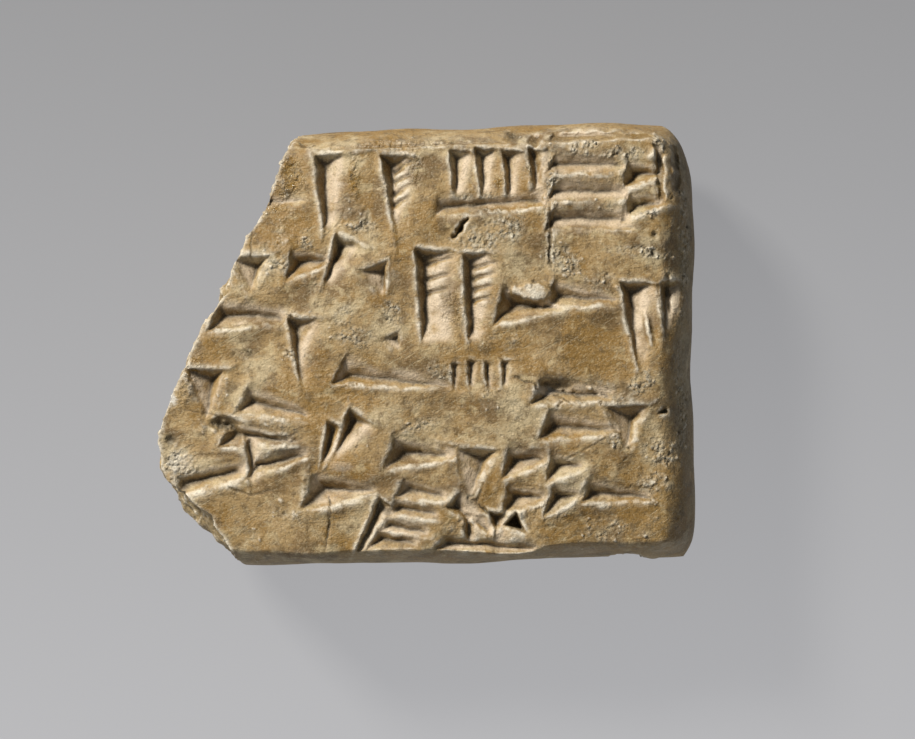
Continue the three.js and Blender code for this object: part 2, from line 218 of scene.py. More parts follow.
@dataclass(frozen=True)
class Lattice:
    """The cells that the whole skin of the tablet is made of, before they are thinned out.

    Attributes:
        x: Cells along the lines of writing.
        y: Cells across them.
        z: Cells through the thickness.
    """

    x: int = 450
    y: int = 380
    z: int = 110

    def skin(self) -> tuple[Array, NDArray[np.int32]]:
        """Lays the cells over a cube.

        Returns:
            The corners, from -1 to 1 each way, and the four-cornered faces, seen from outside.
        """
        counts = np.array([self.x, self.y, self.z])
        corners, faces, start = [], [], 0
        for axis in range(3):
            u, v = (axis + 1) % 3, (axis + 2) % 3
            nu, nv = counts[u] + 1, counts[v] + 1
            i, j = np.meshgrid(np.arange(nu), np.arange(nv), indexing="ij")
            first = (i[:-1, :-1] * nv + j[:-1, :-1]).ravel()
            quads = np.stack([first, first + nv, first + nv + 1, first + 1], axis=1)
            for end in (0, counts[axis]):
                spot = np.zeros((nu * nv, 3), np.int64)
                spot[:, axis], spot[:, u], spot[:, v] = end, i.ravel(), j.ravel()
                corners.append(spot)
                faces.append((quads if end else quads[:, ::-1]) + start)
                start += nu * nv
        spots = np.concatenate(corners)
        keys = (spots[:, 0] * (counts[1] + 1) + spots[:, 1]) * (counts[2] + 1) + spots[:, 2]
        _, keep, same = np.unique(keys, return_index=True, return_inverse=True)
        quads = same[np.concatenate(faces)].astype(np.int32)
        return (spots[keep] / counts * 2 - 1).astype(np.float64), quads


@dataclass(frozen=True)
class Corner:
    """One rounded corner of the outline.

    Attributes:
        run: How far the rounding runs down the side.
        across: How far it runs along the edge.
    """

    run: float
    across: float

    def drop(self, into: Array) -> Array:
        """Gives how far the side has moved in, `into` past the start of the rounding."""
        s = np.clip(into / self.run, 0, 1)
        return self.across * (1 - np.sqrt(1 - s * s))


@dataclass(frozen=True)
class Plane:
    """A plane over the tablet: a point on it and its slopes along X and Y."""

    x: float
    y: float
    z: float
    slope_x: float
    slope_y: float

    def at(self, x: Array, y: Array) -> Array:
        """Gives the plane's height over each point."""
        return self.z + self.slope_x * (x - self.x) + self.slope_y * (y - self.y)


@dataclass(frozen=True)
class Lump:
    """The lump of clay before anything is pressed into it: the same form as the solid model's.

    Attributes:
        thickness: From the resting face to the crown of the written face.
        face_sag: How fast the written face falls away along X and Y, for each mm squared.
        back_rise: The same for the back.
        back_sunk: How far the back would bulge below the surface that pressed it flat.
        side_low: Height where the upright part of the rolled sides starts.
        side_high: Height where it ends.
        face_roll: Width of each rolled edge of the face, seen from above: right, top and bottom.
        back_roll: The same for the back.
        face_power: The curve of the face's rolls: 2 is even, less gives a clearer shoulder.
        back_power: The same for the back.
        reach_y: Half the width across the lines.
        roll_share: Share of the lattice's cells that a rolled edge takes.
        top_edge: The top edge's Y at each X.
        bottom_edge: The bottom edge's Y at each X.
        right_side: The right side's X at each Y.
        top_corner: How the right side turns in at the top.
        bottom_corner: The same at the bottom.
        break_line: The break's X at each Y.
        break_face_inset: How much further in the break lies at the written face, at each Y.
        break_back_inset: The same at the back.
        tears: The waves in the torn side: how deep, how close along Y and Z, and where they start.
        tear_middle: How far out the waves are moved, so that they run to both sides of the break.
    """

    thickness: float = 17.0
    face_sag: tuple[float, float] = (0.0016, 0.0021)
    back_rise: tuple[float, float] = (0.0022, 0.0034)
    back_sunk: float = 0.45
    side_low: float = 6.4
    side_high: float = 10.2
    face_roll: tuple[float, float, float] = (3.4, 2.2, 1.7)
    back_roll: tuple[float, float, float] = (5.2, 4.8, 4.6)
    face_power: float = 1.65
    back_power: float = 2.1
    reach_y: float = 19.6
    roll_share: float = 0.11
    top_edge: Knots = ((-11, 18.45), (0, 19.1), (9, 19.3), (17, 19.65), (22, 19.5))
    bottom_edge: Knots = ((-16.3, -19.6), (3, -19.4), (12, -19), (22, -18.75))
    right_side: Knots = ((-19.6, 23.9), (-14, 24.1), (-5, 23.5), (3, 23.65), (12, 23.75), (19.6, 23.6))
    top_corner: Corner = Corner(7.6, 3)
    bottom_corner: Corner = Corner(4.4, 2.7)
    break_line: Knots = (
        (-19.6, -16.6), (-16, -21.1), (-13.8, -22.8), (-10.9, -24), (-8.5, -24), (-4.6, -22.4),
        (-0.6, -20.7), (6.4, -17.7), (10.4, -14.8), (12.6, -13.8), (17.3, -12.3), (18.7, -11.2),
        (19.6, -10.2),
    )  # fmt: skip
    break_face_inset: Knots = (
        (-19.6, 0.5), (-18.5, 1.2), (-16.7, 2.5), (-15, 3.2), (-13.4, 2.3), (-12, 0.9), (-6, 0.3),
        (1.5, 0.4), (4.2, 1.1), (7, 0.7), (9, 0.2), (19.6, 0.2),
    )  # fmt: skip
    break_back_inset: Knots = ((-19.6, 0.6), (-13, 2.6), (-6, 3.4), (2, 2.2), (9, 2.9), (19.6, 1.2))
    tears: Sequence[tuple[float, float, float, float]] = (
        (0.55, 0.62, 0.3, 0.2), (0.5, -0.37, 0.41, 1), (0.3, 1.35, -0.62, 0.5),
    )  # fmt: skip
    tear_middle: float = 0.5

    def right_edge(self, y: Array) -> Array:
        """Gives the whole side edge's X at each Y."""
        top = self.top_corner.drop(y - (self.reach_y - self.top_corner.run))
        bottom = self.bottom_corner.drop(-y - (self.reach_y - self.bottom_corner.run))
        return through(self.right_side, y) - top - bottom

    def left_edge(self, y: Array, rise: Array) -> Array:
        """Gives the break's X.

        Args:
            y: How far across the lines.
            rise: Height, from 0 at the back to 1 at the written face.

        Returns:
            The X of the torn side there.
        """
        z = rise * self.thickness
        inset = along(self.break_face_inset, y) * ease(0.5, 1, rise)
        inset = inset + along(self.break_back_inset, y) * ease(0.35, 1, 1 - rise)
        torn = -self.tear_middle
        for deep, in_y, in_z, start in self.tears:
            torn = torn + deep * np.abs(np.sin(in_y * y + in_z * z + start))
        return along(self.break_line, y) + inset + torn * ease(0.02, 0.25, 1 - rise)

    @staticmethod
    def lumps(x: Array, y: Array, z: Array) -> tuple[Array, Array, Array]:
        """Gives the slow unevenness that hands leave, as an offset each way."""
        return (
            0.11 * np.sin(0.42 * y + 0.31 * z + 1.1) + 0.07 * np.sin(0.83 * y - 0.52 * z),
            0.11 * np.sin(0.37 * x - 0.28 * z + 0.4) + 0.07 * np.sin(0.71 * x + 0.6 * z + 2),
            0.13 * np.sin(0.33 * x + 0.47 * y + 2.2) + 0.09 * np.sin(0.61 * x - 0.44 * y + 0.7),
        )

    def rolled(self, share: Array, low_end: bool) -> tuple[Array, Array, Array]:
        """Splits a lattice line into its flat part and the quarter turns of its rolled ends.

        Args:
            share: How far along the line, from 0 to 1.
            low_end: Whether its low end is rolled too.

        Returns:
            The share of the flat part, and the turns at the low and the high end.
        """
        high = self.roll_share
        low = high if low_end else 0.0
        quarter = math.pi / 2
        return (
            np.clip((share - low) / (1 - low - high), 0, 1),
            np.clip((low - share) / high, 0, 1) * quarter,
            np.clip((share - 1 + high) / high, 0, 1) * quarter,
        )

    def face_height(self, x: Array, y: Array) -> Array:
        """Gives the height of the written face, away from its edges."""
        return self.thickness - self.face_sag[0] * x * x - self.face_sag[1] * y * y

    def place(self, cube: Array) -> Array:
        """Moves points of the cube onto the lump.

        Args:
            cube: Points from -1 to 1 each way, one a row.

        Returns:
            Their places, in mm.
        """
        fx, fy, rise = ((cube + 1) / 2).T
        right, top, bottom = (
            back + (face - back) * rise for back, face in zip(self.back_roll, self.face_roll)
        )
        power = 2 / (self.back_power + (self.face_power - self.back_power) * rise)

        def out(turn: Array) -> Array:
            """Gives how far out a rolled edge is after a turn, as a share of its reach."""
            return np.sin(turn) ** power

        def up(turn: Array) -> Array:
            """Gives how far up it is."""
            return np.maximum(np.cos(turn), 0) ** power

        flat_x, _, turn_right = self.rolled(fx, False)
        flat_y, turn_bottom, turn_top = self.rolled(fy, True)
        level = self.reach_y * (2 * fy - 1)
        start, end = self.left_edge(level, rise), self.right_edge(level)
        near = start + (end - start) * fx
        low, high = through(self.bottom_edge, near) + bottom, through(self.top_edge, near) - top
        y = low + (high - low) * flat_y + top * out(turn_top) - bottom * out(turn_bottom)
        left = self.left_edge(y, rise)
        x = left + (self.right_edge(y) - right - left) * flat_x + right * out(turn_right)
        crown = up(turn_right) * up(turn_bottom) * up(turn_top)
        back = self.back_rise[0] * x * x + self.back_rise[1] * y * y - self.back_sunk
        under = self.side_low + (back - self.side_low) * crown
        over = self.side_high + (self.face_height(x, y) - self.side_high) * crown
        z = under + (over - under) * rise
        dx, dy, dz = self.lumps(x, y, z)
        return np.stack([x + dx, y + dy, z + dz], axis=1)

    def surface(self, x: Array, y: Array) -> Array:
        """Gives the height of the uncut face over each point, down its rolled edges too."""

        def over(past: Array, width: float) -> Array:
            """Gives how far up a rolled edge is, `past` its start."""
            return (1 - np.clip(past / width, 0, 0.93) ** self.face_power) ** (1 / self.face_power)

        right, top, bottom = self.face_roll
        crown = (
            over(x - self.right_edge(y) + right, right)
            * over(y - through(self.top_edge, x) + top, top)
            * over(through(self.bottom_edge, x) + bottom - y, bottom)
        )
        z = self.side_high + (self.face_height(x, y) - self.side_high) * crown
        return z + self.lumps(x, y, z)[2]

    def tangent(self, x: float, y: float) -> Plane:
        """Gives the plane that touches the written face at a point."""
        step = 0.8
        xs = np.array([x, x + step, x - step, x, x])
        ys = np.array([y, y, y, y + step, y - step])
        here, east, west, north, south = self.surface(xs, ys)
        return Plane(x, y, here, (east - west) / (2 * step), (north - south) / (2 * step))


@dataclass(frozen=True)
class Press:
    """The form that one kind of stroke leaves.

    Attributes:
        length: Length of the stroke.
        head: Width of its head.
        tail: Width of its far end.
        depth: Greatest depth.
        lean: Where the deepest point lies across the head, from 0 to 1.
        setback: How far behind the head's edge it lies.
        skew: How far that edge slants.
    """

    length: float
    head: float
    tail: float
    depth: float
    lean: float
    setback: float
    skew: float


class Kind(Enum):
    """The kinds of stroke."""

    UPRIGHT = Press(6.4, 3.3, 1.2, 1.2, 0.28, 1, 0.1)
    LEVEL = Press(6, 2.7, 0.8, 1.05, 0.46, 1.2, 0.4)
    HOOK = Press(4, 3.7, 0.4, 1.15, 0.62, 1.1, 0)
    RIB = Press(2.1, 0.62, 0.5, 0.34, 0.5, 0.2, 0)
    RULE = Press(5.3, 0.44, 0.44, 0.26, 0.3, 0.2, 0)


@dataclass(frozen=True)
class Stroke:
    """One stroke pressed into the face.

    Attributes:
        form: Its form.
        x: Where its head starts.
        y: Where its head starts.
        turn: Which way it runs, in degrees from +X.
        plane: The clay's surface before the stroke.
        tail_slope: How steeply the far end runs out.
        shallow: Depth below which a stroke follows the surface as it now stands.
        deeper: How many times deeper it is than its form.
        upright_head: Share of the form's setback that is kept, which makes the head steep.
        hollow: The curve of the gentle wall: 1 is flat, more makes it shallow by its edge.
        crisp: Width of the rounding where the steep wall meets the head.
        faint: Width of the rounding where the gentle wall meets the tail.
        valley: Width of the rounding between those two pairs.
    """

    form: Press
    x: float
    y: float
    turn: float
    plane: Plane
    tail_slope: float = 0.6
    shallow: float = 0.4
    deeper: float = 1.08
    upright_head: float = 0.75
    hollow: float = 1.7
    crisp: float = 0.08
    faint: float = 0.3
    valley: float = 0.12

    @property
    def run(self) -> tuple[float, float]:
        """The direction it runs in."""
        return math.cos(math.radians(self.turn)), math.sin(math.radians(self.turn))

    def slopes(self) -> tuple[float, float, float, float]:
        """Gives how fast it narrows, where its near side starts, and how steep its two sides are."""
        f = self.form
        narrowing = (f.head - f.tail) / 2 / f.length
        near = -f.head / 2
        deep = near + f.lean * f.head
        steep = f.depth / (deep - near - narrowing * f.setback)
        gentle = f.depth / (-near - narrowing * f.setback - deep)
        return narrowing, near, steep, gentle

    def local(self, x: Array, y: Array) -> tuple[Array, Array]:
        """Gives how far along the stroke and how far to its left each point lies."""
        rx, ry = self.run
        dx, dy = x - self.x, y - self.y
        return dx * rx + dy * ry, dy * rx - dx * ry

    def depth(self, s: Array, q: Array) -> tuple[Array, Array]:
        """Gives the depth of the pressed form under the clay's surface.

        Args:
            s: How far along the stroke.
            q: How far to its left.

        Returns:
            The depth, below zero outside the stroke, and how far each point is on the gentle wall or the
            tail, from 0 to 1, where the stroke runs out softly.
        """
        f = self.form
        narrowing, near, steep, gentle = self.slopes()
        deep = near + f.lean * f.head
        setback = f.setback * self.upright_head - f.skew * deep / (f.head / 2)
        head = (s - f.skew * q / (f.head / 2)) * f.depth / setback
        steep_side = steep * (q - near - narrowing * s)
        gentle_side = gentle * (-near - narrowing * s - q)
        sunk = f.depth * (np.maximum(gentle_side, 0) / f.depth) ** self.hollow
        gentle_side = np.where(gentle_side > 0, sunk, gentle_side)
        tail = self.tail_slope * (f.length - s)
        sharp = lower_of(steep_side, head, self.crisp)
        soft = lower_of(gentle_side, tail, self.faint)
        return lower_of(sharp, soft, self.valley) * self.deeper, ease(0, 0.5, sharp - soft)

    def gentle_wall(self) -> Plane:
        """Gives the plane of the stroke's gentle wall, for what is pressed into it."""
        narrowing, near, _, gentle = self.slopes()
        per_s, per_q = -narrowing * gentle, -gentle
        rx, ry = self.run
        return Plane(
            self.x,
            self.y,
            self.plane.z + near * gentle,
            self.plane.slope_x - (per_s * rx - per_q * ry),
            self.plane.slope_y - (per_s * ry + per_q * rx),
        )


@dataclass
class Writing:
    """Every stroke on the written face, in the solid model's places.

    Attributes:
        lump: The clay they are pressed into.
        line_tops: Where each line starts. The lines crowd together towards the bottom.
        strokes: The strokes, in the order they were pressed.
    """

    lump: Lump
    line_tops: Sequence[float] = (16.4, 8.4, 0.8, -3.2, -9.4, -14.2)
    strokes: list[Stroke] = field(default_factory=list)

    def add(
        self, kind: Kind, x: float, y: float, turn: float, plane: Plane | None = None, **size: float
    ) -> Stroke:
        """Presses one stroke.

        Args:
            kind: Its kind.
            x: Where its head starts.
            y: Where its head starts.
            turn: Which way it runs, in degrees from +X.
            plane: The surface that it is pressed into, if that isn't the face.
            **size: What differs from its kind.

        Returns:
            The stroke.
        """
        form = replace(kind.value, **size)
        reach = form.length / 3
        middle = x + math.cos(math.radians(turn)) * reach, y + math.sin(math.radians(turn)) * reach
        stroke = Stroke(form, x, y, turn, plane or self.lump.tangent(*middle))
        self.strokes.append(stroke)
        return stroke

    def upright(self, x: float, y: float, tilt: float = 0, **size: float) -> Stroke:
        """Presses a stroke that runs down the tablet."""
        return self.add(Kind.UPRIGHT, x, y, tilt - 90, **size)

    def level(self, x: float, y: float, tilt: float = 0, **size: float) -> Stroke:
        """Presses a stroke that runs along the line."""
        return self.add(Kind.LEVEL, x, y, tilt, **size)

    def hook(self, x: float, y: float, tilt: float = 0, **size: float) -> Stroke:
        """Presses a short stroke that is as wide as it is long."""
        return self.add(Kind.HOOK, x, y, tilt - 90, **size)

    def comb(self, x: float, y: float, count: int, pitch: float, **size: float) -> None:
        """Presses a row of uprights."""
        for i in range(count):
            self.upright(x + i * pitch, y + 0.25 * (i % 2), **size)

    def stack(
        self, x: float, y: float, count: int, pitch: float, tilt: float = 0, step: float = 0, **size: float
    ) -> None:
        """Presses levels one under another, each `step` further along than the last."""
        for i in range(count):
            self.level(x + i * step, y - i * pitch, tilt, **size)

    def ribbed(self, x: float, y: float, count: int, tilt: float, **size: float) -> None:
        """Presses an upright with short ribs slantwise across its gentle wall.

        Args:
            x: Where its head starts.
            y: Where its head starts.
            count: How many ribs.
            tilt: How far they slant, in degrees.
            **size: What differs from a plain upright.
        """
        main = self.upright(x, y, **size)
        form = main.form
        valley = x - form.head * (0.5 - form.lean) + 0.15
        for i in range(count):
            down = i * form.length * 0.52 / count
            length = form.head * (0.94 - form.lean) * (1 - 0.5 * down / form.length)
            at_y = y - form.setback - 0.35 - down
            self.add(Kind.RIB, valley, at_y, tilt, main.gentle_wall(), length=length)

    def ruling(self, x: float, y: float, runs: int, tilt: float) -> None:
        """Presses the ruled line under the top edge, in short runs that follow the clay."""
        length = Kind.RULE.value.length
        drift = math.sin(math.radians(tilt))
        for i in range(runs):
            self.add(Kind.RULE, x + i * length, y + i * length * drift, tilt)

    def write(self) -> None:
        """Presses every stroke, line by line."""
        first, second, third, fourth, fifth, last = self.line_tops
        self.ruling(-8.5, first + 0.5, 3, 2.2)
        # First line.
        self.level(-14.2, first - 4.1, 4, length=3.8, head=1.9, depth=0.55, setback=0.5)
        self.upright(-8.2, first, tail=1.6)
        self.ribbed(-2.4, first - 0.2, 4, 30, length=7.6, head=3.2, tail=0.5)
        self.comb(3, first + 0.2, 4, 2.3, length=4, head=2.3, depth=0.9, setback=0.8)
        self.level(0.7, first - 4.6, 5, length=9.4, head=2, tail=1.1, depth=0.75)
        self.hook(9.3, first + 2.4, length=3.6, head=2.5, depth=0.9)
        self.stack(10.7, first + 1.6, 4, 2.35, length=7, head=2.2, tail=1.7, depth=0.72, setback=0.5)
        self.stack(17.2, first - 1.7, 2, 2.7, 6, length=3.6, depth=1.2, setback=1.3)
        self.comb(20.3, first + 0.8, 2, 1.7, length=4.8, head=1.1, tail=0.7, depth=0.5, setback=0.4)
        # Second line.
        self.hook(-15.3, second - 0.9, length=3.1)
        self.level(-12, second - 1.5, 6, length=4.1, head=2.7, lean=0.5)
        self.upright(-6.7, second + 0.5, -24, length=4.6, head=2.7, tail=1)
        self.hook(-4.7, second - 1.7, 18, length=2.8, head=2.8, lean=0.72, depth=0.95)
        self.ribbed(0.7, second - 0.4, 3, 14, length=7.4, head=3.5, tail=2.2, lean=0.22, setback=0.8)
        self.ribbed(4.6, second - 0.7, 4, 14, length=7.4, head=3.3, tail=2, lean=0.24, setback=0.8)
        self.level(6.2, second - 4.9, -2, length=5.4, head=3.7, depth=1.35, setback=1.7)
        self.level(10.6, second - 4.1, -3, length=6.6, head=2.8, tail=0.9)
        self.upright(18.5, second - 3.2, length=7, head=3.5, tail=0.5, lean=0.3)
        self.hook(21.4, second - 3, -6, length=5, head=2.8, lean=0.36, depth=1)
        # Third line.
        self.level(-18.5, third + 1.8, -1, length=6.4, head=2.9, tail=1.4, depth=1.1)
        self.upright(-10.7, third + 1.3, length=5.5, head=2.9, tail=0.6, depth=1.05)
        self.hook(-3.1, third - 0.1, 30, length=1.7, head=1.9, depth=0.6, setback=0.6)
        self.level(-7.5, third - 3, -6.5, length=16.5, head=2.5, tail=1, depth=0.85, lean=0.3)
        self.comb(2.6, third - 2.5, 4, 1.45, length=2.5, head=1.05, tail=0.7, depth=0.6, setback=0.4)
        self.level(9.5, third - 4.7, -5, length=6.4, head=2.9, depth=1.15, setback=1.6)
        # Fourth line.
        self.hook(-19.1, fourth + 0.9, length=4.6)
        self.level(-16, fourth - 1.6, -12, length=6.5, tail=1.4, lean=0.46)
        self.level(-17.5, fourth - 4.5, -6, length=7, head=2.4, tail=0.9)
        self.upright(-14.8, fourth - 4.7, length=4.2, head=2.2, lean=0.2, depth=0.9, setback=0.6)
        self.upright(-7.7, fourth - 3.8, -14, length=3.8, head=1.9, depth=0.95)
        self.upright(-5.5, fourth - 3.2, -32, length=4.8, head=2.9, tail=1)
        self.level(10.2, fourth - 3.8, -3, length=7)
        self.hook(17.3, fourth - 2.2, length=4, head=3.8, setback=1.4)
        # Fifth line.
        self.level(-21.8, fifth - 2.9, 14, length=6.6, head=1.9, tail=1.7, depth=0.9)
        self.level(-15.6, fifth - 1.3, 14, length=5.4, head=2, depth=0.9)
        self.level(-10.4, fifth - 3.1, length=6.6, head=3.7, tail=1.2, depth=1.3, setback=1.9)
        self.level(-3.3, fifth + 0.1, -2, length=5.4, head=3.2, depth=1.2, setback=1.8)
        self.hook(4.1, fifth + 0.3, -5, length=4.2, head=4.2, lean=0.7)
        self.stack(6.8, fifth - 0.8, 2, 3.3, 6, length=3.7, head=2.8, lean=0.5)
        self.stack(10.5, fifth - 1.3, 2, 2.7, 6, length=3.4, lean=0.5)
        self.level(13.6, fifth - 3.4, -3, length=5.8, head=2.4, depth=0.95)
        # Last line.
        self.stack(-2.4, last + 1.7, 3, 1.55, -8, -0.8, length=4.5, head=1.9, tail=1.2, depth=0.8)
        self.level(-4.9, last - 2.6, -4, length=4.4, head=2.5, tail=1.2)
        self.upright(-3.4, last + 0.5, -27, length=5.4, head=1.9, tail=0.9, depth=0.9)
        self.upright(2.3, last + 0.9, 52, length=5, head=2.4, depth=0.85)
        self.comb(4, last - 0.7, 2, 2.4, length=2.8, head=1.9, depth=0.95, setback=0.6)
        self.level(1, last - 2.9, -4, length=8.6, head=1.8, tail=1, depth=0.8)


@dataclass
class Skin:
    """The tablet's surface while it is being worked: points with what has been done to each.

    Attributes:
        points: Places in mm, one a row.
        faces: Four-cornered faces.
        out: Outward direction at each point of the smooth lump.
        marks: What has been done, by name, from 0 to 1 at each point.
    """

    points: Array
    faces: NDArray[np.int32]
    out: Array
    marks: dict[str, Array]

    @property
    def faceward(self) -> Array:
        """How much each point looks up, from 0 to 1."""
        return ease(0.25, 0.6, self.out[:, 2])

    def mark(self, name: str, near: Any, share: Array) -> None:
        """Notes a mark at some points, where it isn't stronger already."""
        self.marks[name][near] = np.maximum(self.marks[name][near], share)

    def rub_out(self, near: Any, share: Array) -> None:
        """Takes away the clean floor of a stroke at some points."""
        self.marks["pressed"][near] *= 1 - share

    def normals(self) -> Array:
        """Works out the outward direction at each point as it now stands."""
        a, b, c, d = (self.points[self.faces[:, k]] for k in range(4))
        across = np.cross(c - a, d - b)
        total = np.zeros_like(self.points)
        for k in range(4):
            for axis in range(3):
                total[:, axis] += np.bincount(self.faces[:, k], across[:, axis], len(total))
        return total / (np.linalg.norm(total, axis=1, keepdims=True) + 1e-12)

    def blurred(self, values: Array, rounds: int) -> Array:
        """Averages values with their neighbours' along the faces, again and again."""
        count = len(self.points)
        ends = [(self.faces[:, k], self.faces[:, (k + 1) % 4]) for k in range(4)]
        weight = sum(np.bincount(start, minlength=count) for start, _ in ends)
        for _ in range(rounds):
            values = sum(np.bincount(start, values[end], count) for start, end in ends) / weight
        return values

    def relaxed(self, rounds: int) -> Array:
        """Gives the points after some rounds of averaging."""
        return np.stack([self.blurred(self.points[:, axis], rounds) for axis in range(3)], axis=1)


@dataclass(frozen=True)
class Bite:
    """A rounded hollow where a bit of clay is missing.

    Attributes:
        centre: The middle of the rounded form that was taken out.
        radii: Half its size each way.
        turn: How far it is turned about +Z, in degrees.
        into: The way the surface moves to make room for it.
        rough: How rough its walls are, in mm.
    """

    centre: tuple[float, float, float]
    radii: tuple[float, float, float]
    turn: float = 0
    into: tuple[float, float, float] = (0, 0, -1)
    rough: float = 0.25

    def flat(self, vectors: Array) -> Array:
        """Turns vectors, one a row, into those of a ball of radius 1."""
        angle = math.radians(self.turn)
        x, y, z = vectors.T
        turned = x * math.cos(angle) + y * math.sin(angle), y * math.cos(angle) - x * math.sin(angle), z
        return np.stack(turned, axis=1) / np.array(self.radii)

    def cut(self, skin: Skin, noise: Noise) -> None:
        """Moves the skin out of the form.

        Args:
            skin: The skin, which is changed.
            noise: What makes the walls rough.
        """
        reach = max(self.radii) * 1.3
        near = np.flatnonzero(np.linalg.norm(skin.points - self.centre, axis=1) < reach)
        into = np.array(self.into, float)
        ray = self.flat(into[None])[0]
        spot = self.flat(skin.points[near] - np.array(self.centre))
        rough = noise.layers(skin.points[near] / 0.9, 3)
        spot = spot / (1 + rough[:, None] * self.rough / min(self.radii[:2]))
        a, b, c = ray @ ray, spot @ ray, np.einsum("ij,ij->i", spot, spot) - 1
        inside = (b * b - a * c > 0) & (c < 0)
        far = np.where(inside, (-b + np.sqrt(np.maximum(b * b - a * c, 0))) / a, 0)
        skin.points[near] += far[:, None] * into
        skin.mark("dirt_and_shade", near, 0.5 * ease(0.05, 0.6, far))
        skin.mark("grit", near, ease(0, 0.3, far))
        skin.rub_out(near, ease(0, 0.2, far))


@dataclass(frozen=True)
class Groove:
    """A crack, scratch or gash that runs through a few points of the face.

    Attributes:
        route: The points, as X and Y.
        width: Its width across.
        depth: Its depth.
        wander: How far it strays from the straight lines between the points.
        dirt_and_shade: How much dirt it holds, from 0 to 1, on the mark that also carries painted shade.
        lip: How high the clay stands along its edges.
    """

    route: Knots
    width: float
    depth: float
    wander: float = 0.2
    dirt_and_shade: float = 0.6
    lip: float = 0.02

    def cut(self, skin: Skin, noise: Noise) -> None:
        """Presses the groove down into the face.

        Args:
            skin: The skin, which is changed.
            noise: What makes it stray.
        """
        route = np.array(self.route, float)
        low, high = route.min(axis=0) - 1, route.max(axis=0) + 1
        flat = skin.points[:, :2]
        near = np.flatnonzero(((flat > low) & (flat < high)).all(axis=1) & (skin.out[:, 2] > 0.2))
        places = skin.points[near]
        stray = [noise.layers(places / 0.9 + shift, 3) for shift in (0, 40)]
        spot = places[:, :2] + np.stack(stray, axis=1) * self.wander
        best = np.full(len(near), 9.0)
        whole = np.linalg.norm(np.diff(route, axis=0), axis=1)
        share = np.zeros(len(near))
        for k, (start, end) in enumerate(zip(route[:-1], route[1:])):
            t = np.clip(((spot - start) @ (end - start)) / whole[k] ** 2, 0, 1)
            away = np.linalg.norm(spot - start - t[:, None] * (end - start), axis=1)
            closer = away < best
            best[closer] = away[closer]
            share[closer] = ((whole[:k].sum() + t * whole[k]) / whole.sum())[closer]
        taper = ease(0, 0.15, share) * ease(1, 0.8, share)
        half = self.width / 2 * (0.3 + 0.7 * taper) * (1 + 0.7 * noise.at(places / 0.8 + 9))
        deep = ease(1, 0.3, best / np.maximum(half, 0.04)) * taper
        lip = np.exp(-(((best - half * 1.3) / (half * 0.5 + 0.02)) ** 2)) * taper
        skin.points[near, 2] += self.lip * lip - self.depth * deep
        skin.mark("dirt_and_shade", near, deep * self.dirt_and_shade)


@dataclass(frozen=True)
class Knob:
    """A lump of clay that stands up from the face, or a hollow in it.

    Attributes:
        x: Its middle.
        y: Its middle.
        half: Half its length and half its width.
        height: How far it stands up. Below zero, it is a hollow.
        turn: How far its length is turned from +X, in degrees.
        rough: How uneven it is, as a share of its height.
        flat: How flat its top is: 1 is round.
        dirt_and_shade: How much dirt it holds, from 0 to 1, on the mark that also carries painted shade.
        corners: How many corners its outline has: 0 is round.
    """

    x: float
    y: float
    half: tuple[float, float]
    height: float
    turn: float = 0
    rough: float = 0.3
    flat: float = 1
    dirt_and_shade: float = 0
    corners: int = 0

    def raise_on(self, skin: Skin, noise: Noise) -> None:
        """Raises the lump.

        Args:
            skin: The skin, which is changed.
            noise: What makes it uneven.
        """
        c, s = math.cos(math.radians(self.turn)), math.sin(math.radians(self.turn))
        dx, dy = skin.points[:, 0] - self.x, skin.points[:, 1] - self.y
        near = np.flatnonzero((np.hypot(dx, dy) < max(self.half) * 1.8) & (skin.out[:, 2] > 0.1))
        dx, dy = dx[near], dy[near]
        u, v = (dx * c + dy * s) / self.half[0], (dy * c - dx * s) / self.half[1]
        away = np.hypot(u, v)
        if self.corners:
            side = 2 * math.pi / self.corners
            away = away * np.cos(np.mod(np.arctan2(v, u), side) - side / 2) / math.cos(side / 2)
        uneven = noise.layers(skin.points[near] / (0.6 * min(self.half) + 0.2), 3)
        away = away + (0.25 if self.corners else 0.4) * uneven
        lift = ease(1, 1 - 1 / self.flat, away) if self.flat > 1 else ease(1.05, 0, away)
        skin.points[near, 2] += self.height * lift * (1 + self.rough * uneven)
        if self.height < 0:
            skin.mark("dirt_and_shade", near, self.dirt_and_shade * lift)
            skin.mark("grit", near, 0.6 * lift)
            skin.rub_out(near, lift)


@dataclass(frozen=True)
class Patch:
    """A stretch of the face whose surface differs.

    Attributes:
        x: Its middle.
        y: Its middle.
        half: Half its length and half its width.
        turn: How far its length is turned from +X, in degrees.
        strength: How much it differs, from 0 to 1.
    """

    x: float
    y: float
    half: tuple[float, float]
    turn: float = 0
    strength: float = 1

    def share(self, points: Array) -> Array:
        """Gives how far inside the patch each point is, from 0 to its strength."""
        c, s = math.cos(math.radians(self.turn)), math.sin(math.radians(self.turn))
        dx, dy = points[:, 0] - self.x, points[:, 1] - self.y
        away = np.hypot((dx * c + dy * s) / self.half[0], (dy * c - dx * s) / self.half[1])
        return ease(1.4, 0.5, away) * self.strength


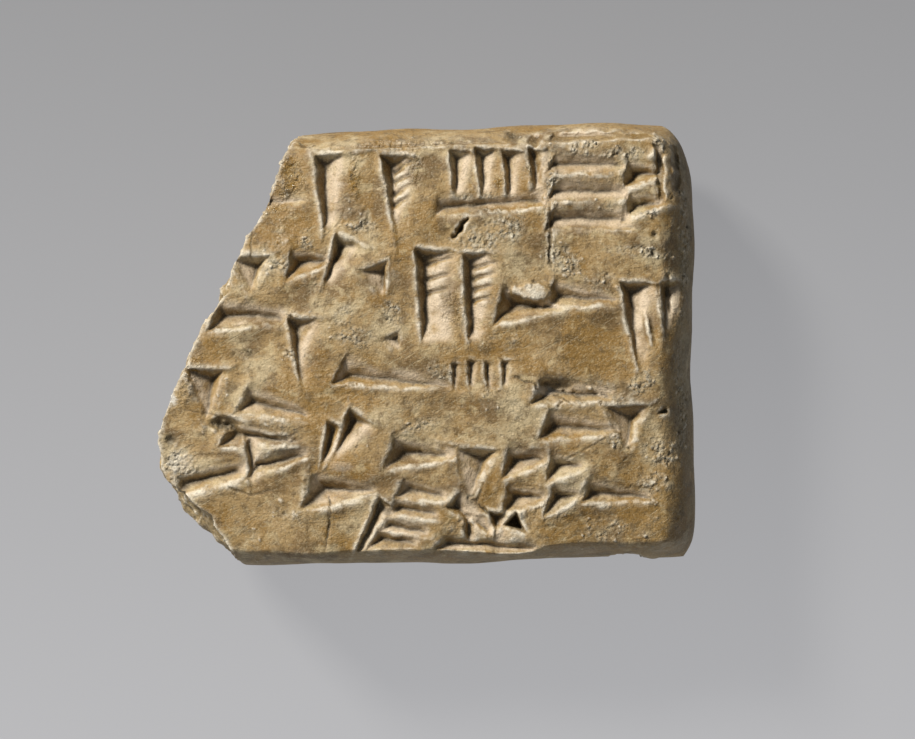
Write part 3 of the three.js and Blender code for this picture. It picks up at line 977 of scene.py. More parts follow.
@dataclass(frozen=True)
class Marks:
    """Everything on the face that came after the writing, one thing at a time.

    Attributes:
        bites: Bits missing from the edges.
        knobs: Lumps and hollows.
        grooves: Cracks, scratches and gashes.
        grit: Where salt and sand sit on the surface.
        gloss: Where the surface shines.
        chalk: White spots.
    """

    bites: Sequence[Bite] = (Bite((17.6, -19.4, 10.8), (1.8, 1.05, 9), 4, (0, 1, 0)),)
    knobs: Sequence[Knob] = (
        Knob(9.05, 4.4, (1.65, 0.85), 1.15, -4, 0.12, 2.2),
        Knob(3.7, -15.4, (0.95, 0.5), 0.45, 25),
        Knob(6, -16.3, (0.85, 0.75), 0.5, 60),
        Knob(19.2, 1.2, (2, 0.45), 0.5, 100, 0.8),
        Knob(19.8, 16.5, (1.1, 0.7), 0.45, 30, 0.8),
        Knob(21.8, 15, (0.5, 0.6), 0.4),
        Knob(20.2, 17.9, (0.9, 0.5), 0.25, -50, 0.8),
        Knob(9.9, 16.2, (0.8, 1.6), 0.4, 0, 0.4),
        Knob(12.2, 12.2, (0.5, 0.3), 0.15),
        Knob(7.7, -15.6, (1.5, 1.1), -1.7, -42, 0.3, 1.5, 1, 3),
        Knob(-17.6, -7, (1.6, 0.85), -0.95, 0, 0.7, dirt_and_shade=0.9),
        Knob(-17.7, -6.9, (0.42, 0.36), 0.4),
        Knob(-18.4, -7.6, (0.3, 0.3), 0.25),
        Knob(-22.3, -8.4, (0.6, 0.7), -0.4, 0, 0.8, dirt_and_shade=0.7),
        Knob(7.6, 18, (0.9, 0.9), -0.8, 0, 1.2, dirt_and_shade=0.8),
        Knob(11.4, -3.6, (2, 0.75), -0.6, -3, 0.5, dirt_and_shade=0.7),
        Knob(20.6, -5.9, (0.8, 0.45), -0.5, 200, 0.5, 1.4, 0.9, 3),
        Knob(-14.1, 15.9, (0.9, 0.55), -0.2, 40, 0.8),
        Knob(-12.6, 14, (0.7, 1.1), 0.16, 10, 0.8),
        Knob(-12, 12.8, (1, 0.5), -0.16, 20, 0.8),
        Knob(19.8, 9.4, (0.35, 0.45), -0.35, 0, 0.6, dirt_and_shade=0.7),
        Knob(12.2, 8.2, (0.35, 0.35), -0.25, 0, 0.8, dirt_and_shade=0.6),
    )
    grooves: Sequence[Groove] = (
        Groove(((3.6, 10.9), (3, 10.2), (2.5, 9.5), (2.2, 8.7)), 0.6, 0.5, 0.5, 1),
        Groove(((3.2, 10.2), (2.7, 9.6)), 0.5, 0.4, 0.4, 1),
        Groove(((-8.6, -12.7), (-8.4, -14.6), (-8.6, -16.4), (-8.9, -18.3)), 0.24, 0.16, 0.22, 0.9),
        Groove(((4.9, -11.8), (4.7, -13), (4.1, -14.2)), 0.24, 0.14),
        Groove(((11.4, -10.4), (14.6, -8.7), (17.9, -6.8)), 0.22, 0.08, 0.12, 0.35, 0.05),
        Groove(((10.6, 12.6), (10.8, 9.4), (10.7, 5.6)), 0.34, 0.2, 0.3, 0.5),
        Groove(((-15.6, 12.2), (-15.3, 9.8), (-15.2, 6.6)), 0.22, 0.1, 0.2, 0.5),
        Groove(((-9.2, 8.9), (-7.6, 10.4), (-6.9, 12.4)), 0.25, 0.06, 0.15, 0.2),
        Groove(((-4.2, 11.8), (-1.8, 14.2)), 0.25, 0.06, dirt_and_shade=0.1),
        Groove(((-17.6, -12.3), (-15.4, -13.2), (-12.8, -12.6)), 0.25, 0.12),
        Groove(((-3.6, 8.2), (-6, 6.6)), 0.2, 0.06, dirt_and_shade=0.1, lip=0.06),
        Groove(((-6.4, -4.2), (-9.6, -5.6)), 0.2, 0.06, dirt_and_shade=0.1, lip=0.06),
        Groove(((11.6, -6.2), (11.3, -8.2)), 0.18, 0.06, dirt_and_shade=0.1, lip=0.06),
        Groove(((-21.4, -5.7), (-17.8, -6.4)), 0.2, 0.08),
        Groove(((7.2, -2.9), (9.2, -3.4), (10.4, -4.9)), 0.3, 0.18, 0.3, 0.8),
        Groove(((9.2, -5), (11.4, -4.4), (13, -5.6)), 0.22, 0.14, 0.3, 0.8),
        Groove(((11.8, -4.9), (11.2, -5.6)), 0.3, 0.2, 0.3, 0.9),
        Groove(((6, -15), (4.2, -13.9)), 0.3, 0.16, 0.3, 0.9),
        Groove(((10.9, 18), (15, 18.15), (20.4, 18)), 0.6, 0.14, 0.1, 0.3, 0.1),
        Groove(((20.3, 17.2), (20.4, 12)), 0.8, 0.3, 0.2, 0.5),
        Groove(((21.9, 16.8), (21.8, 12.8)), 0.8, 0.3, 0.2, 0.5),
        Groove(((20.9, 6.3), (21.2, 2.4)), 0.5, 0.2, 0.3, 0.5),
        Groove(((-11.4, 17.5), (-10.4, 16.9), (-9.6, 17.4)), 0.25, 0.12, 0.4, 0.7),
    )
    grit: Sequence[Patch] = (
        Patch(5.6, 9.4, (2.9, 1.5), 20),
        Patch(4.6, 12.3, (1.4, 1), 0, 0.9),
        Patch(11.9, 7.2, (1.8, 1.2), -20),
        Patch(10.7, 13.5, (0.7, 4)),
        Patch(14.6, -4.5, (3, 0.8), -5),
        Patch(18.7, -3.3, (1.4, 0.8), 40),
        Patch(20.4, -9.5, (1.8, 1.1), -20),
        Patch(19, 11.6, (1.3, 0.7)),
        Patch(16.4, -8.6, (1.5, 0.6), -10, 0.7),
        Patch(-21.4, -10.4, (1.4, 1.4)),
        Patch(18.5, 7.9, (2.8, 0.5), -5),
        Patch(13.6, 17, (1.4, 0.8)),
        Patch(17.2, 16.4, (1.6, 0.8)),
        Patch(20.6, 17.8, (1.2, 0.9), -50),
        Patch(-3, 2.6, (0.8, 1.2), 10, 0.9),
        Patch(-7.2, 2.3, (0.9, 0.9), 0, 0.8),
        Patch(-11.3, -0.9, (1.2, 0.8), 0, 0.8),
        Patch(1.3, -2.4, (1.2, 0.9), 0, 0.8),
        Patch(-5.6, 10.2, (1.4, 0.5), 0, 0.9),
        Patch(-10.5, 8.9, (0.6, 0.9), 0, 1),
        Patch(-13.2, 6.7, (1.2, 0.8), 0, 0.8),
        Patch(-1.2, -7.2, (2, 0.6), 15, 0.6),
        Patch(15.6, 5.4, (2, 0.7), 0, 0.6),
        Patch(-6.3, 0.5, (1.6, 0.9), 0, 0.8),
        Patch(19.8, -12.5, (1.6, 1.2), 30, 0.7),
        Patch(15.5, -16.2, (2, 1), 10, 0.7),
        Patch(22.4, -4, (0.8, 5), 0, 0.8),
        Patch(22.6, 9, (0.7, 5), 0, 0.9),
    )
    gloss: Sequence[Patch] = (
        Patch(-6.4, 14.4, (0.5, 1.8), 3),
        Patch(-12.4, 14.5, (1.6, 2), 20),
        Patch(-1.1, 15, (0.8, 1.6), 0, 0.8),
        Patch(6.3, 14, (0.8, 0.7), 0, 0.8),
        Patch(-2.6, 17.3, (6, 0.7), 2, 0.6),
        Patch(-20.6, -3, (0.8, 2.6), -20, 0.7),
        Patch(-14.4, 11.7, (2.4, 0.6), 5, 1),
        Patch(10.9, -14.4, (2.6, 1.4), 10, 0.6),
        Patch(2.2, 3, (1.2, 1.6), 0, 0.7),
    )
    chalk: Sequence[Patch] = (
        Patch(-22.3, -4.9, (0.45, 0.6), 0, 1),
        Patch(-21.6, -10.3, (1, 0.9), 0, 0.3),
        Patch(-18.4, 10.6, (0.8, 0.5), 0, 0.6),
        Patch(10.1, -4.1, (1, 0.4), 0, 0.5),
        Patch(-7.4, -10.7, (1, 0.4), 0, 0.2),
    )

    def make(self, skin: Skin, noise: Noise) -> None:
        """Makes every mark.

        Args:
            skin: The skin, which is changed.
            noise: What makes them uneven.
        """
        for knob in self.knobs:
            knob.raise_on(skin, noise)
        for groove in self.grooves:
            groove.cut(skin, noise)
        for bite in self.bites:
            bite.cut(skin, noise)
        for name, patches in (("grit", self.grit), ("gloss", self.gloss), ("chalk", self.chalk)):
            for patch in patches:
                skin.mark(name, slice(None), patch.share(skin.points) * skin.faceward)


@dataclass(frozen=True)
class Wear:
    """How hands, the ground and time left the surface. Heights and widths are in mm.

    Attributes:
        seed: Picks the unevenness.
        swell: Height of the slow unevenness that hands leave.
        swell_width: Its width.
        wobble: How far the edges of strokes stray.
        wobble_width: Over what distance they do.
        drag: Height of the streaks left by smoothing along the lines.
        wobble_height: How uneven the floors of strokes are.
        crisp_edge: Width of the rounding along a stroke's crisp edges.
        faint_edge: How much wider it is where the stroke runs out softly.
        reach: How far over a stroke its sloping sides are followed up before they stop.
        lip: Height of the clay pushed up along a stroke.
        bulge: Height of the broader swelling beside it.
        torn_height: Height of the roughness on the break.
        grit_height: Height of the grit.
        crease: Height of the fine creases of the dried skin.
    """

    seed: int = 11
    swell: float = 0.2
    swell_width: float = 4.2
    wobble: float = 0.17
    wobble_width: float = 1.2
    drag: float = 0.025
    wobble_height: float = 0.025
    crisp_edge: float = 0.08
    faint_edge: float = 0.35
    reach: float = 1.6
    lip: float = 0.06
    bulge: float = 0.15
    torn_height: float = 0.32
    grit_height: float = 0.17
    crease: float = 0.04


@dataclass
class Tablet:
    """The broken piece of clay, all in one piece.

    Attributes:
        lump: Its uncut form.
        lattice: The cells of its skin.
        wear: How worn it is.
        triangles: How many triangles it keeps.
        plain_triangles: How many of them are set aside for the sides and the back.
        settle: How far the worked skin settles towards its neighbours, as a share.
        brim: Within how many mm of the solid model's box the skin is eased in.
    """

    lump: Lump
    lattice: Lattice
    wear: Wear = Wear()
    triangles: int = 198_000
    plain_triangles: int = 62_000
    settle: float = 0.6
    brim: float = 0.5

    def __post_init__(self) -> None:
        """Sets up the unevenness."""
        self.noise = Noise(self.wear.seed)

    def start(self) -> Skin:
        """Makes the smooth skin of the uncut lump."""
        cube, faces = self.lattice.skin()
        points = self.lump.place(cube)
        names = ("pressed", "torn", "grit", "dirt_and_shade", "gloss", "chalk", "side", "worn")
        skin = Skin(points, faces, points * 0, {name: np.zeros(len(points)) for name in names})
        skin.out = skin.normals()
        out_x, out_y, out_z = skin.out.T
        torn = ease(0.35, 0.7, -out_x) * (cube[:, 0] < -0.98)
        skin.marks["torn"] = torn
        # Painted shade: the sides that face away from the key light, towards +X and -Y, and the back.
        skin.marks["side"] = ease(0.85, 0.3, out_z) * (1 - torn) * ease(-0.2, 0.8, out_x - 0.4 * out_y)
        return skin

    def soften(self, skin: Skin) -> None:
        """Adds the slow unevenness of hand-worked clay, and the streaks of its smoothing."""
        wear = self.wear
        swell = self.noise.layers(skin.points / wear.swell_width, 3) * wear.swell
        streaks = self.noise.layers(skin.points / np.array([3.6, 0.42, 1.2]), 2) * wear.drag * skin.faceward
        skin.points += skin.out * (swell * (0.4 + 0.6 * skin.faceward) + streaks)[:, None]

    def press(self, skin: Skin) -> None:
        """Presses the writing into the face."""
        writing = Writing(self.lump)
        writing.write()
        wear, noise = self.wear, self.noise
        stray = [noise.layers(skin.points / wear.wobble_width + shift, 2) * wear.wobble for shift in (0, 50)]
        x, y = skin.points[:, 0] + stray[0], skin.points[:, 1] + stray[1]
        upward = skin.out[:, 2] > 0.05
        lips, bulges = np.zeros(len(x)), np.zeros(len(x))
        for stroke in writing.strokes:
            form = stroke.form
            s, q = stroke.local(x, y)
            near = np.flatnonzero(upward & (s > -2) & (s < form.length + 2) & (abs(q) < form.head + 1))
            s, q = s[near], q[near]
            across = np.stack([s / 2.6, q / 0.16, skin.points[near, 2]], axis=1)
            depth, faint = stroke.depth(s, q)
            depth = depth + wear.wobble_height * noise.layers(across, 2)
            before = skin.points[near, 2]
            soft = (wear.crisp_edge + wear.faint_edge * faint) * min(form.depth, 1)
            if form.depth < stroke.shallow:
                after = lower_of(before, before - depth, wear.crisp_edge)
            else:
                after = lower_of(before, stroke.plane.at(x[near], y[near]) - depth, soft)
            after = np.where(depth > -wear.reach, np.minimum(after, before), before)
            skin.points[near, 2] = after
            inside = ease(0.05, 0.3, before - after)
            skin.mark("pressed", near, inside)
            size = min(form.depth, 1) * (1 - inside)
            lip = np.exp(-(((depth + 0.2) / 0.15) ** 2)) * size * (1 - faint)
            bulge = np.exp(-(((depth + 0.5) / 0.5) ** 2)) * size * (1 - 0.6 * faint)
            lips[near] = np.maximum(lips[near] * (1 - inside), lip)
            bulges[near] = np.maximum(bulges[near] * (1 - inside), bulge)
        fitful = np.maximum(1 + 1.5 * noise.at(skin.points / 1.7), 0)
        skin.points[:, 2] += wear.lip * lips * fitful + wear.bulge * bulges

    def tear(self, skin: Skin) -> None:
        """Roughens the break."""
        rough = self.noise.layers(skin.points / 2.2, 5)
        ridges = self.noise.layers(skin.points / np.array([1.5, 1.5, 0.7]) + 9, 4, sharp=True)
        lift = self.wear.torn_height * (rough + 0.6 * ridges - 0.3)
        skin.points += skin.out * (skin.marks["torn"] * lift)[:, None]

    def pit(self, skin: Skin, cell: float, radius: float, depth: float, share: Array) -> None:
        """Strews ragged pits, or grains, over the skin.

        Args:
            skin: The skin, which is changed.
            cell: How far apart they are.
            radius: The radius of the largest.
            depth: The depth of the deepest. Below zero, they stand up as grains.
            share: The share of places that have one, for each point of the skin.
        """
        finer = skin.points / (0.7 * cell)
        ragged = np.stack([self.noise.at(finer + shift) for shift in (0, 30, 60)], axis=1)
        away, shares = self.noise.spots(skin.points / cell + 0.3 * ragged)
        size = radius * (0.35 + 0.65 * shares[:, 0])
        t = away * cell / size
        there = (shares[:, 3] < share) * (0.5 + 0.5 * shares[:, 1])
        hole = np.clip(1 - t * t, 0, 1) ** 1.2 * there
        skin.points -= skin.out * (depth * hole)[:, None]
        if depth > 0:
            skin.mark("dirt_and_shade", slice(None), hole * 0.8)

    def weather(self, skin: Skin) -> None:
        """Adds the pits, grains and grit."""
        noise, marks, wear = self.noise, skin.marks, self.wear
        whole = 1 - marks["torn"]
        patchy = ease(0.1, 0.6, noise.layers(skin.points / 2.6 + 5, 4)) * whole * skin.faceward
        uneven = 0.6 + 1.1 * noise.layers(skin.points / 0.9, 2)
        clean = 1 - 0.75 * marks["pressed"]
        grit = np.clip((marks["grit"] * 1.2 + 0.7 * patchy) * uneven * clean, 0, 1)
        marks["grit"] = grit
        rough = np.clip(grit + 0.45 * marks["torn"], 0, 1)
        fine = noise.layers(skin.points / 0.45, 2)
        creased = noise.layers(skin.points / 1.3 + 3, 4, sharp=True)
        creases = wear.crease * (0.5 + patchy) * creased * clean
        lift = wear.grit_height * rough * fine + creases + 0.012 * fine * skin.faceward
        skin.points += skin.out * lift[:, None]
        self.pit(skin, 0.55, 0.3, -0.22, 0.9 * rough)
        self.pit(skin, 0.8, 0.36, 0.24, 0.75 * rough)
        self.pit(skin, 1.7, 0.42, 0.16, 0.07 * skin.faceward + 0.4 * patchy)
        self.pit(skin, 2.9, 0.7, 0.2, 0.12 + 0.3 * patchy)
        self.pit(skin, 2.3, 0.6, -0.12, 0.3 * patchy + 0.1)

    def fit(self, skin: Skin) -> None:
        """Brings the skin to the solid model's box: what would stand out of it is eased in."""
        low, high = (np.array(end) / MM for end in cad_box)
        under = lower_of(skin.points, np.broadcast_to(high, skin.points.shape), self.brim)
        inside = -lower_of(-under, np.broadcast_to(-low, skin.points.shape), self.brim)
        inside[:, 2] = np.maximum(under[:, 2], 0)
        mine = inside.min(axis=0), inside.max(axis=0)
        share = (high - low) / (mine[1] - mine[0])
        skin.points = low + (inside - mine[0]) * share
        log.info("fitted to the solid model's box by %s", share)

    def note(self, skin: Skin) -> None:
        """Notes where the surface stands proud of what is round it, and paints shade where it is sunk."""
        marks, out = skin.marks, skin.normals()
        crest = np.einsum("ij,ij->i", skin.points - skin.relaxed(8), out)
        broad = skin.points[:, 2] - skin.blurred(skin.points[:, 2], 60)
        marks["worn"] = np.clip(ease(0.015, 0.09, crest) + 0.3 * ease(0.05, 0.25, broad), 0, 1)
        # Painted shade: creases, and the sunk floors of strokes on the face, are darkened as if in shadow.
        sunk = ease(-0.02, -0.12, crest) * 0.7 + ease(-0.08, -0.6, broad) * 0.5 * skin.faceward
        skin.mark("dirt_and_shade", slice(None), np.clip(sunk, 0, 0.85))
        marks["pressed"] *= ease(0.6, 0.88, out[:, 2])

    def mesh(self, skin: Skin) -> bpy.types.Mesh:
        """Makes a mesh of the skin, with its marks as attributes."""
        mesh = bpy.data.meshes.new("tablet")
        mesh.vertices.add(len(skin.points))
        mesh.vertices.foreach_set("co", (skin.points * MM).astype(np.float32).ravel())
        mesh.loops.add(skin.faces.size)
        mesh.loops.foreach_set("vertex_index", skin.faces.ravel())
        mesh.polygons.add(len(skin.faces))
        mesh.polygons.foreach_set("loop_start", np.arange(0, skin.faces.size, 4, dtype=np.int32))
        mesh.update(calc_edges=True)
        for name, share in skin.marks.items():
            mesh.attributes.new(name, "FLOAT", "POINT").data.foreach_set("value", share.astype(np.float32))
        return mesh

    def thinned(self, skin: Skin, mesh: bpy.types.Mesh) -> bpy.types.Mesh:
        """Thins out a mesh where it is smooth, first of all on the sides and the back.

        Args:
            skin: The skin that the mesh was made of.
            mesh: The mesh, which is used up.

        Returns:
            A mesh with the triangles that the tablet keeps.
        """
        face_cells = 2 * self.lattice.x * self.lattice.y
        for kept, whole_face in ((face_cells + self.plain_triangles, True), (self.triangles, False)):
            thick = bpy.data.objects.new("thick", mesh)
            bpy.context.scene.collection.objects.link(thick)
            thin = thick.modifiers.new("thin", "DECIMATE")
            thin.use_collapse_triangulate = True
            if whole_face:
                face = thick.vertex_groups.new(name="face")
                face.add(np.flatnonzero(skin.out[:, 2] > 0.15).tolist(), 1, "REPLACE")
                thin.vertex_group, thin.invert_vertex_group = face.name, True
                thin.ratio = kept / (2 * len(mesh.polygons))
            else:
                thin.ratio = kept / len(mesh.polygons)
            graph = bpy.context.evaluated_depsgraph_get()
            thinner = bpy.data.meshes.new_from_object(thick.evaluated_get(graph))
            bpy.data.objects.remove(thick)
            bpy.data.meshes.remove(mesh)
            mesh = thinner
            log.info("thinned out to %d triangles", len(mesh.polygons))
        return mesh

    def build(self) -> bpy.types.Object:
        """Builds and dresses the tablet."""
        skin = self.start()
        self.soften(skin)
        self.press(skin)
        Marks().make(skin, self.noise)
        self.tear(skin)
        skin.points += self.settle * (skin.relaxed(1) - skin.points)
        self.weather(skin)
        self.fit(skin)
        self.note(skin)
        mesh = self.mesh(skin)
        mesh = self.thinned(skin, mesh)
        mesh.name = "tablet"
        tablet = bpy.data.objects.new("tablet", mesh)
        bpy.context.scene.collection.objects.link(tablet)
        mesh.polygons.foreach_set("use_smooth", np.ones(len(mesh.polygons), bool))
        mesh.materials.append(Clay().build())
        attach(tablet, "root")
        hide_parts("tablet")
        return tablet


def linear(color: str) -> tuple[float, float, float, float]:
    """Turns an sRGB hex value into the linear colour that shaders take.

    Args:
        color: Six hex digits after a #.

    Returns:
        Red, green, blue and a full alpha.
    """
    parts = [int(color[k : k + 2], 16) / 255 for k in (1, 3, 5)]
    red, green, blue = (c / 12.92 if c <= 0.04045 else ((c + 0.055) / 1.055) ** 2.4 for c in parts)
    return red, green, blue, 1


def add(tree: bpy.types.NodeTree, kind: str, links: Mapping[Any, Any], **settings: Any) -> bpy.types.Node:
    """Adds a node.

    Args:
        tree: The node tree.
        kind: The node's type, without "ShaderNode".
        links: What goes into each input: another node's socket, or a value.
        **settings: The node's own settings.

    Returns:
        The node.
    """
    node = tree.nodes.new(f"ShaderNode{kind}")
    for name, value in settings.items():
        setattr(node, name, value)
    for name, value in links.items():
        if isinstance(value, bpy.types.NodeSocket):
            tree.links.new(value, node.inputs[name])
        else:
            node.inputs[name].default_value = value
    return node


class Pattern(Enum):
    """The kinds of pattern in the clay."""

    CLOUDS = "clouds"
    GRAINS = "grains"
    CRACKS = "cracks"


@dataclass(frozen=True)
class Layer:
    """One thing that changes the clay's look, strongly in some places and not at all in others.

    Attributes:
        amount: How much it changes where it is whole: a share of its colour, a height in mm, or a fall in
            roughness.
        width: Width of its pattern, in mm.
        span: The pattern's values where the layer starts and where it is whole.
        color: Its colour, if it has one.
        where: The mark of the skin that it is limited to, if it is.
        pattern: The kind of pattern.
        detail: How many finer copies the pattern has.
        stretch: How much longer than wide the pattern is.
        turn: Which way it runs, in degrees from +X.
    """

    amount: float
    width: float
    span: tuple[float, float] = (0.3, 0.7)
    color: str = ""
    where: str = ""
    pattern: Pattern = Pattern.CLOUDS
    detail: float = 4
    stretch: float = 1
    turn: float = 0

    def build(self, tree: bpy.types.NodeTree, spot: bpy.types.NodeSocket) -> bpy.types.NodeSocket:
        """Adds the layer's nodes.

        Args:
            tree: The node tree.
            spot: The place on the tablet.

        Returns:
            How much the layer changes there.
        """
        width = self.width * MM
        size = {"Scale": (width * self.stretch, width, width), "Rotation": (0, 0, math.radians(self.turn))}
        place = add(tree, "Mapping", {"Vector": spot, **size}, vector_type="TEXTURE").outputs["Vector"]
        if self.pattern is Pattern.GRAINS:
            value = add(tree, "TexVoronoi", {"Vector": place, "Scale": 1.0}).outputs["Distance"]
        else:
            links = {"Vector": place, "Scale": 1.0, "Detail": self.detail, "Roughness": 0.6}
            value = add(tree, "TexNoise", links).outputs["Fac"]
        if self.pattern is Pattern.CRACKS:
            value = add(tree, "Math", {0: value, 1: 0.5}, operation="PINGPONG").outputs["Value"]
        low, high = self.span
        links = {"Value": value, "From Min": low, "From Max": high, "To Max": self.amount}
        share = add(tree, "MapRange", links, interpolation_type="SMOOTHSTEP").outputs["Result"]
        if self.where:
            mark = add(tree, "Attribute", {}, attribute_name=self.where).outputs["Fac"]
            share = add(tree, "Math", {0: share, 1: mark}, operation="MULTIPLY").outputs["Value"]
        return share


GRAINS, CRACKS = Pattern.GRAINS, Pattern.CRACKS


@dataclass(frozen=True)
class Clay:
    """Sun-dried river clay, smoothed by hand: dull and fine-grained, with a faint polish where it was rubbed.

    Attributes:
        body: The clay's own colour.
        ior: Index of refraction, typical of clay minerals.
        dull: Roughness of the bare clay.
        colors: What tints it, from the bottom up.
        reliefs: Its unevenness too fine for the mesh. River silt is finer than the finest drawn here, and
            wouldn't show.
        polishes: What makes it smoother.
    """

    body: str = "#A98C5C"
    ior: float = 1.5
    dull: float = 0.66
    colors: Sequence[Layer] = (
        Layer(0.95, 3.4, (0.46, 0.6), "#775D34", detail=9, stretch=1.4),  # brown mottles
        Layer(0.95, 4.4, (0.5, 0.37), "#C3AF87", detail=9),  # paler ones, where dust was rubbed in
        Layer(0.75, 6, (0.49, 0.57), "#94702F", detail=8),  # golden stains
        Layer(0.75, 0.9, (0.5, 0.66), "#6C5733", detail=6),  # brown specks
        Layer(0.65, 1.3, (0.46, 0.3), "#C9B488"),  # pale specks
        Layer(0.3, 0.24, (0.56, 0.72), "#6F5934", stretch=9, turn=4),  # streaks of smoothing
        Layer(0.3, 0.18, (0.56, 0.7), "#D2C199", stretch=12, turn=32),  # scratches
        Layer(0.55, 2, (0.2, 0.6), "#7C7357", "side"),  # painted shade, grey-olive, on the sides that face away from the key light and on the back
        Layer(0.8, 1, (0.2, 0.5), "#A48D62", "torn"),  # the inside of the clay
        Layer(0.5, 2.4, (0.5, 0.7), "#76623D", "torn"),
        Layer(0.95, 1.6, (0.28, 0.52), "#D9C4A6", "pressed"),  # clean floors of the strokes
        Layer(0.85, 0.34, (0.3, 0.65), "#B8AF98", "grit"),  # salt and sand
        Layer(0.85, 1, (0.3, 0.62), "#EBE1CB", "worn"),  # edges rubbed pale
        Layer(0.6, 2.6, (0.49, 0.5), "#54472D", "grit", CRACKS),  # hairline cracks with earth in them
        Layer(0.95, 0.6, (0.1, 0.45), "#3F3623", "dirt_and_shade"),  # earth in the hollows, with painted shade in every crease and sunk place
        Layer(0.95, 0.5, (0.25, 0.5), "#F0ECE2", "chalk"),  # white spots
        Layer(0.35, 0.17, (0.45, 0.75), "#4E4127", detail=2),  # the grain of the clay
        Layer(0.3, 0.2, (0.5, 0.2), "#E2D3B0", detail=2),
    )
    reliefs: Sequence[Layer] = (
        Layer(0.05, 0.4, (0.2, 0.8)),  # unevenness
        Layer(0.02, 0.16, (0.2, 0.8), detail=2),  # grain
        Layer(0.02, 0.3, (0.5, 0.75), stretch=9, turn=4),  # streaks of smoothing
        Layer(-0.025, 0.18, (0.6, 0.7), stretch=12, turn=32),  # scratches
        Layer(-0.05, 2.6, (0.49, 0.5), where="grit", pattern=CRACKS),  # hairline cracks
        Layer(0.13, 0.36, (0.75, 0.05), where="grit", pattern=GRAINS),
        Layer(-0.12, 0.9, (0.5, 0.75), where="grit"),
        Layer(0.05, 0.4, (0.75, 0.05), where="torn", pattern=GRAINS),
        Layer(0.2, 0.5, (0.3, 0.7), where="gloss"),
    )
    polishes: Sequence[Layer] = (
        Layer(0.16, 6, (0.45, 0.7)),  # where hands rubbed it
        Layer(0.5, 0.8, (0.4, 0.5), where="gloss"),
    )

    def build(self) -> bpy.types.Material:
        """Makes the material."""
        material = bpy.data.materials.new("hand-smoothed dried clay")
        material.use_nodes = True
        tree = material.node_tree
        shader = tree.nodes["Principled BSDF"]
        spot = add(tree, "TexCoord", {}).outputs["Object"]
        color = linear(self.body)
        for layer in self.colors:
            links = {0: layer.build(tree, spot), 6: color, 7: linear(layer.color)}
            color = add(tree, "Mix", links, data_type="RGBA").outputs[2]
        height, rough = 0.0, self.dull
        for layer in self.reliefs:
            links = {0: height, 1: layer.build(tree, spot)}
            height = add(tree, "Math", links, operation="ADD").outputs["Value"]
        for layer in self.polishes:
            links = {0: rough, 1: layer.build(tree, spot)}
            rough = add(tree, "Math", links, operation="SUBTRACT").outputs["Value"]
        bump = add(tree, "Bump", {"Height": height, "Strength": 1.0, "Distance": MM})
        tree.links.new(color, shader.inputs["Base Color"])
        tree.links.new(rough, shader.inputs["Roughness"])
        tree.links.new(bump.outputs["Normal"], shader.inputs["Normal"])
        shader.inputs["IOR"].default_value = self.ior
        return material


@dataclass(frozen=True)
class Lamp:
    """A soft square light that faces the tablet.

    Attributes:
        name: Its name.
        turn: Which side it stands on, in degrees from +X.
        rise: How high it stands, in degrees.
        away: How far away, in metres.
        size: Its width, in metres.
        power: Its power, in watts.
        color: Its colour.
    """

    name: str
    turn: float
    rise: float
    away: float
    size: float
    power: float
    color: tuple[float, float, float]

    def build(self) -> None:
        """Sets it up."""
        data = bpy.data.lights.new(self.name, "AREA")
        data.energy, data.size, data.color = self.power, self.size, self.color
        lamp = bpy.data.objects.new(self.name, data)
        turn, rise = math.radians(self.turn), math.radians(self.rise)
        way = math.cos(rise) * math.cos(turn), math.cos(rise) * math.sin(turn), math.sin(rise)
        lamp.location = tuple(self.away * part for part in way)
        lamp.rotation_euler = math.pi / 2 - rise, 0, turn + math.pi / 2
        bpy.context.scene.collection.objects.link(lamp)


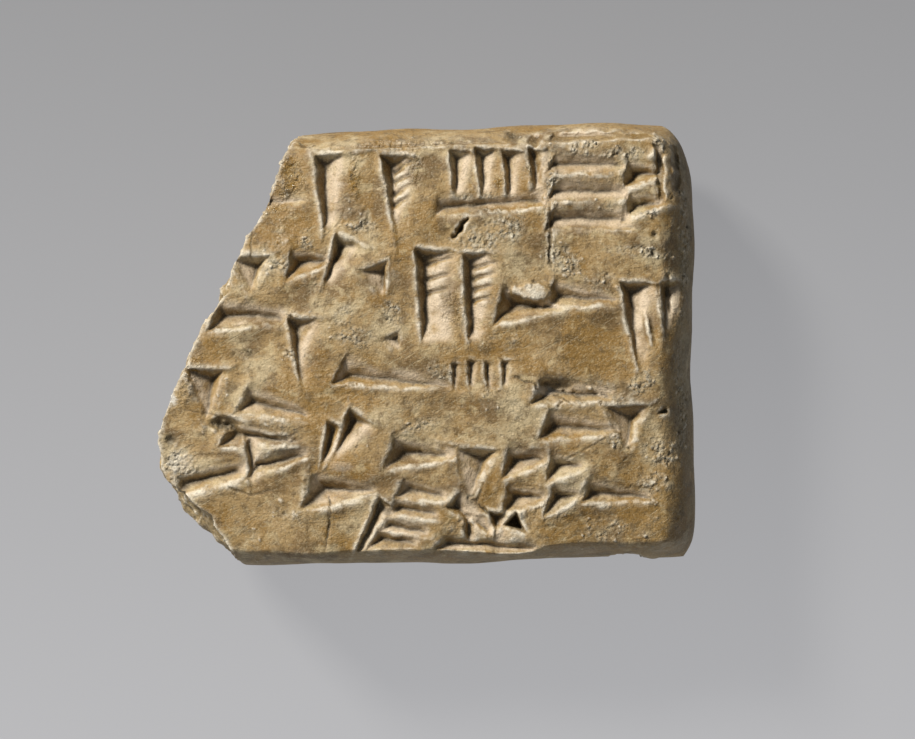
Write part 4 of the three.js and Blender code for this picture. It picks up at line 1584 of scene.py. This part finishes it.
@dataclass(frozen=True)
class Studio:
    """A pale floor, soft lights and a camera that looks straight down.

    Attributes:
        lens: Focal length of the camera, in mm.
        sensor: Width of its sensor, in mm.
        width: How much the picture takes in across, in mm.
        level: The height that this is measured at, in mm.
        aim: The point of the tablet's plan under the camera, in mm.
        reach: Half the width of the floor, in metres.
        glow: Brightness of the floor's paper behind the tablet and before it.
        glow_from: Where the first of the two is, in metres along Y.
        glow_to: Where the second is.
        lamps: The lights.
        sky: Brightness of the room.
        paper: The floor's own colour, dark because it mostly glows.
        paper_glow: The colour it glows in.
        paper_rough: Its roughness.
        room: The colour of the room's light.
    """

    lens: float = 100
    sensor: float = 36
    width: float = 82.2
    level: float = 9
    aim: tuple[float, float] = (2.65, -2.25)
    reach: float = 1.5
    glow: tuple[float, float] = (0.25, 0.44)
    glow_from: float = 0.035
    glow_to: float = -0.04
    lamps: Sequence[Lamp] = (
        Lamp("key", 132, 37, 0.6, 0.12, 5.2, (1, 0.97, 0.93)),
        Lamp("fill", -95, 30, 0.8, 0.5, 0.75, (0.95, 0.97, 1)),
    )
    sky: float = 0.1
    paper: tuple[float, float, float, float] = (0.06, 0.06, 0.06, 1)
    paper_glow: tuple[float, float, float, float] = (0.97, 0.97, 1, 1)
    paper_rough: float = 0.9
    room: tuple[float, float, float, float] = (0.9, 0.95, 1, 1)

    def camera(self) -> None:
        """Sets the camera over the tablet."""
        data = bpy.data.cameras.new("camera")
        data.lens, data.sensor_width = self.lens, self.sensor
        camera = bpy.data.objects.new("camera", data)
        height = self.width * self.lens / self.sensor + self.level
        camera.location = (self.aim[0] * MM, self.aim[1] * MM, height * MM)
        data.clip_start, data.clip_end = 0.01, 5
        bpy.context.scene.collection.objects.link(camera)
        bpy.context.scene.camera = camera

    def floor(self) -> None:
        """Lays the floor. It glows, brighter towards the front: painted light, which also washes out the
        tablet's shadow on it.
        """
        mesh = bpy.data.meshes.new("floor")
        corners = [(self.reach * x, self.reach * y, 0) for x, y in ((-1, -1), (1, -1), (1, 1), (-1, 1))]
        mesh.from_pydata(corners, [], [(0, 1, 2, 3)])
        floor = bpy.data.objects.new("floor", mesh)
        bpy.context.scene.collection.objects.link(floor)
        material = bpy.data.materials.new("glowing paper")
        material.use_nodes = True
        tree = material.node_tree
        shader = tree.nodes["Principled BSDF"]
        shader.inputs["Base Color"].default_value = self.paper
        shader.inputs["Emission Color"].default_value = self.paper_glow
        shader.inputs["Roughness"].default_value = self.paper_rough
        spot = add(tree, "TexCoord", {}).outputs["Object"]
        # Painted light: the floor glows, dimmer behind the tablet and brighter before it, and takes little
        # light from the lamps.
        across = add(tree, "SeparateXYZ", {"Vector": spot}).outputs["Y"]
        behind, before = self.glow
        ends = {"From Min": self.glow_from, "From Max": self.glow_to, "To Min": behind, "To Max": before}
        glow = add(tree, "MapRange", {"Value": across, **ends}).outputs["Result"]
        tree.links.new(glow, shader.inputs["Emission Strength"])
        mesh.materials.append(material)

    def build(self) -> None:
        """Sets it all up."""
        self.camera()
        self.floor()
        for lamp in self.lamps:
            lamp.build()
        world = bpy.data.worlds.new("world")
        bpy.context.scene.world = world
        world.use_nodes = True
        background = world.node_tree.nodes["Background"]
        background.inputs["Color"].default_value = self.room
        background.inputs["Strength"].default_value = self.sky
        bpy.context.scene.view_settings.view_transform = "Standard"


def main() -> None:
    """Builds the tablet and the studio round it."""
    logging.basicConfig(level=logging.INFO, format="%(message)s")
    lattice = Lattice()
    tablet = Tablet(Lump(), lattice).build()
    log.info("tablet: %d faces", len(tablet.data.polygons))
    Studio().build()
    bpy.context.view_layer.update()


if __name__ == "__main__":
    main()
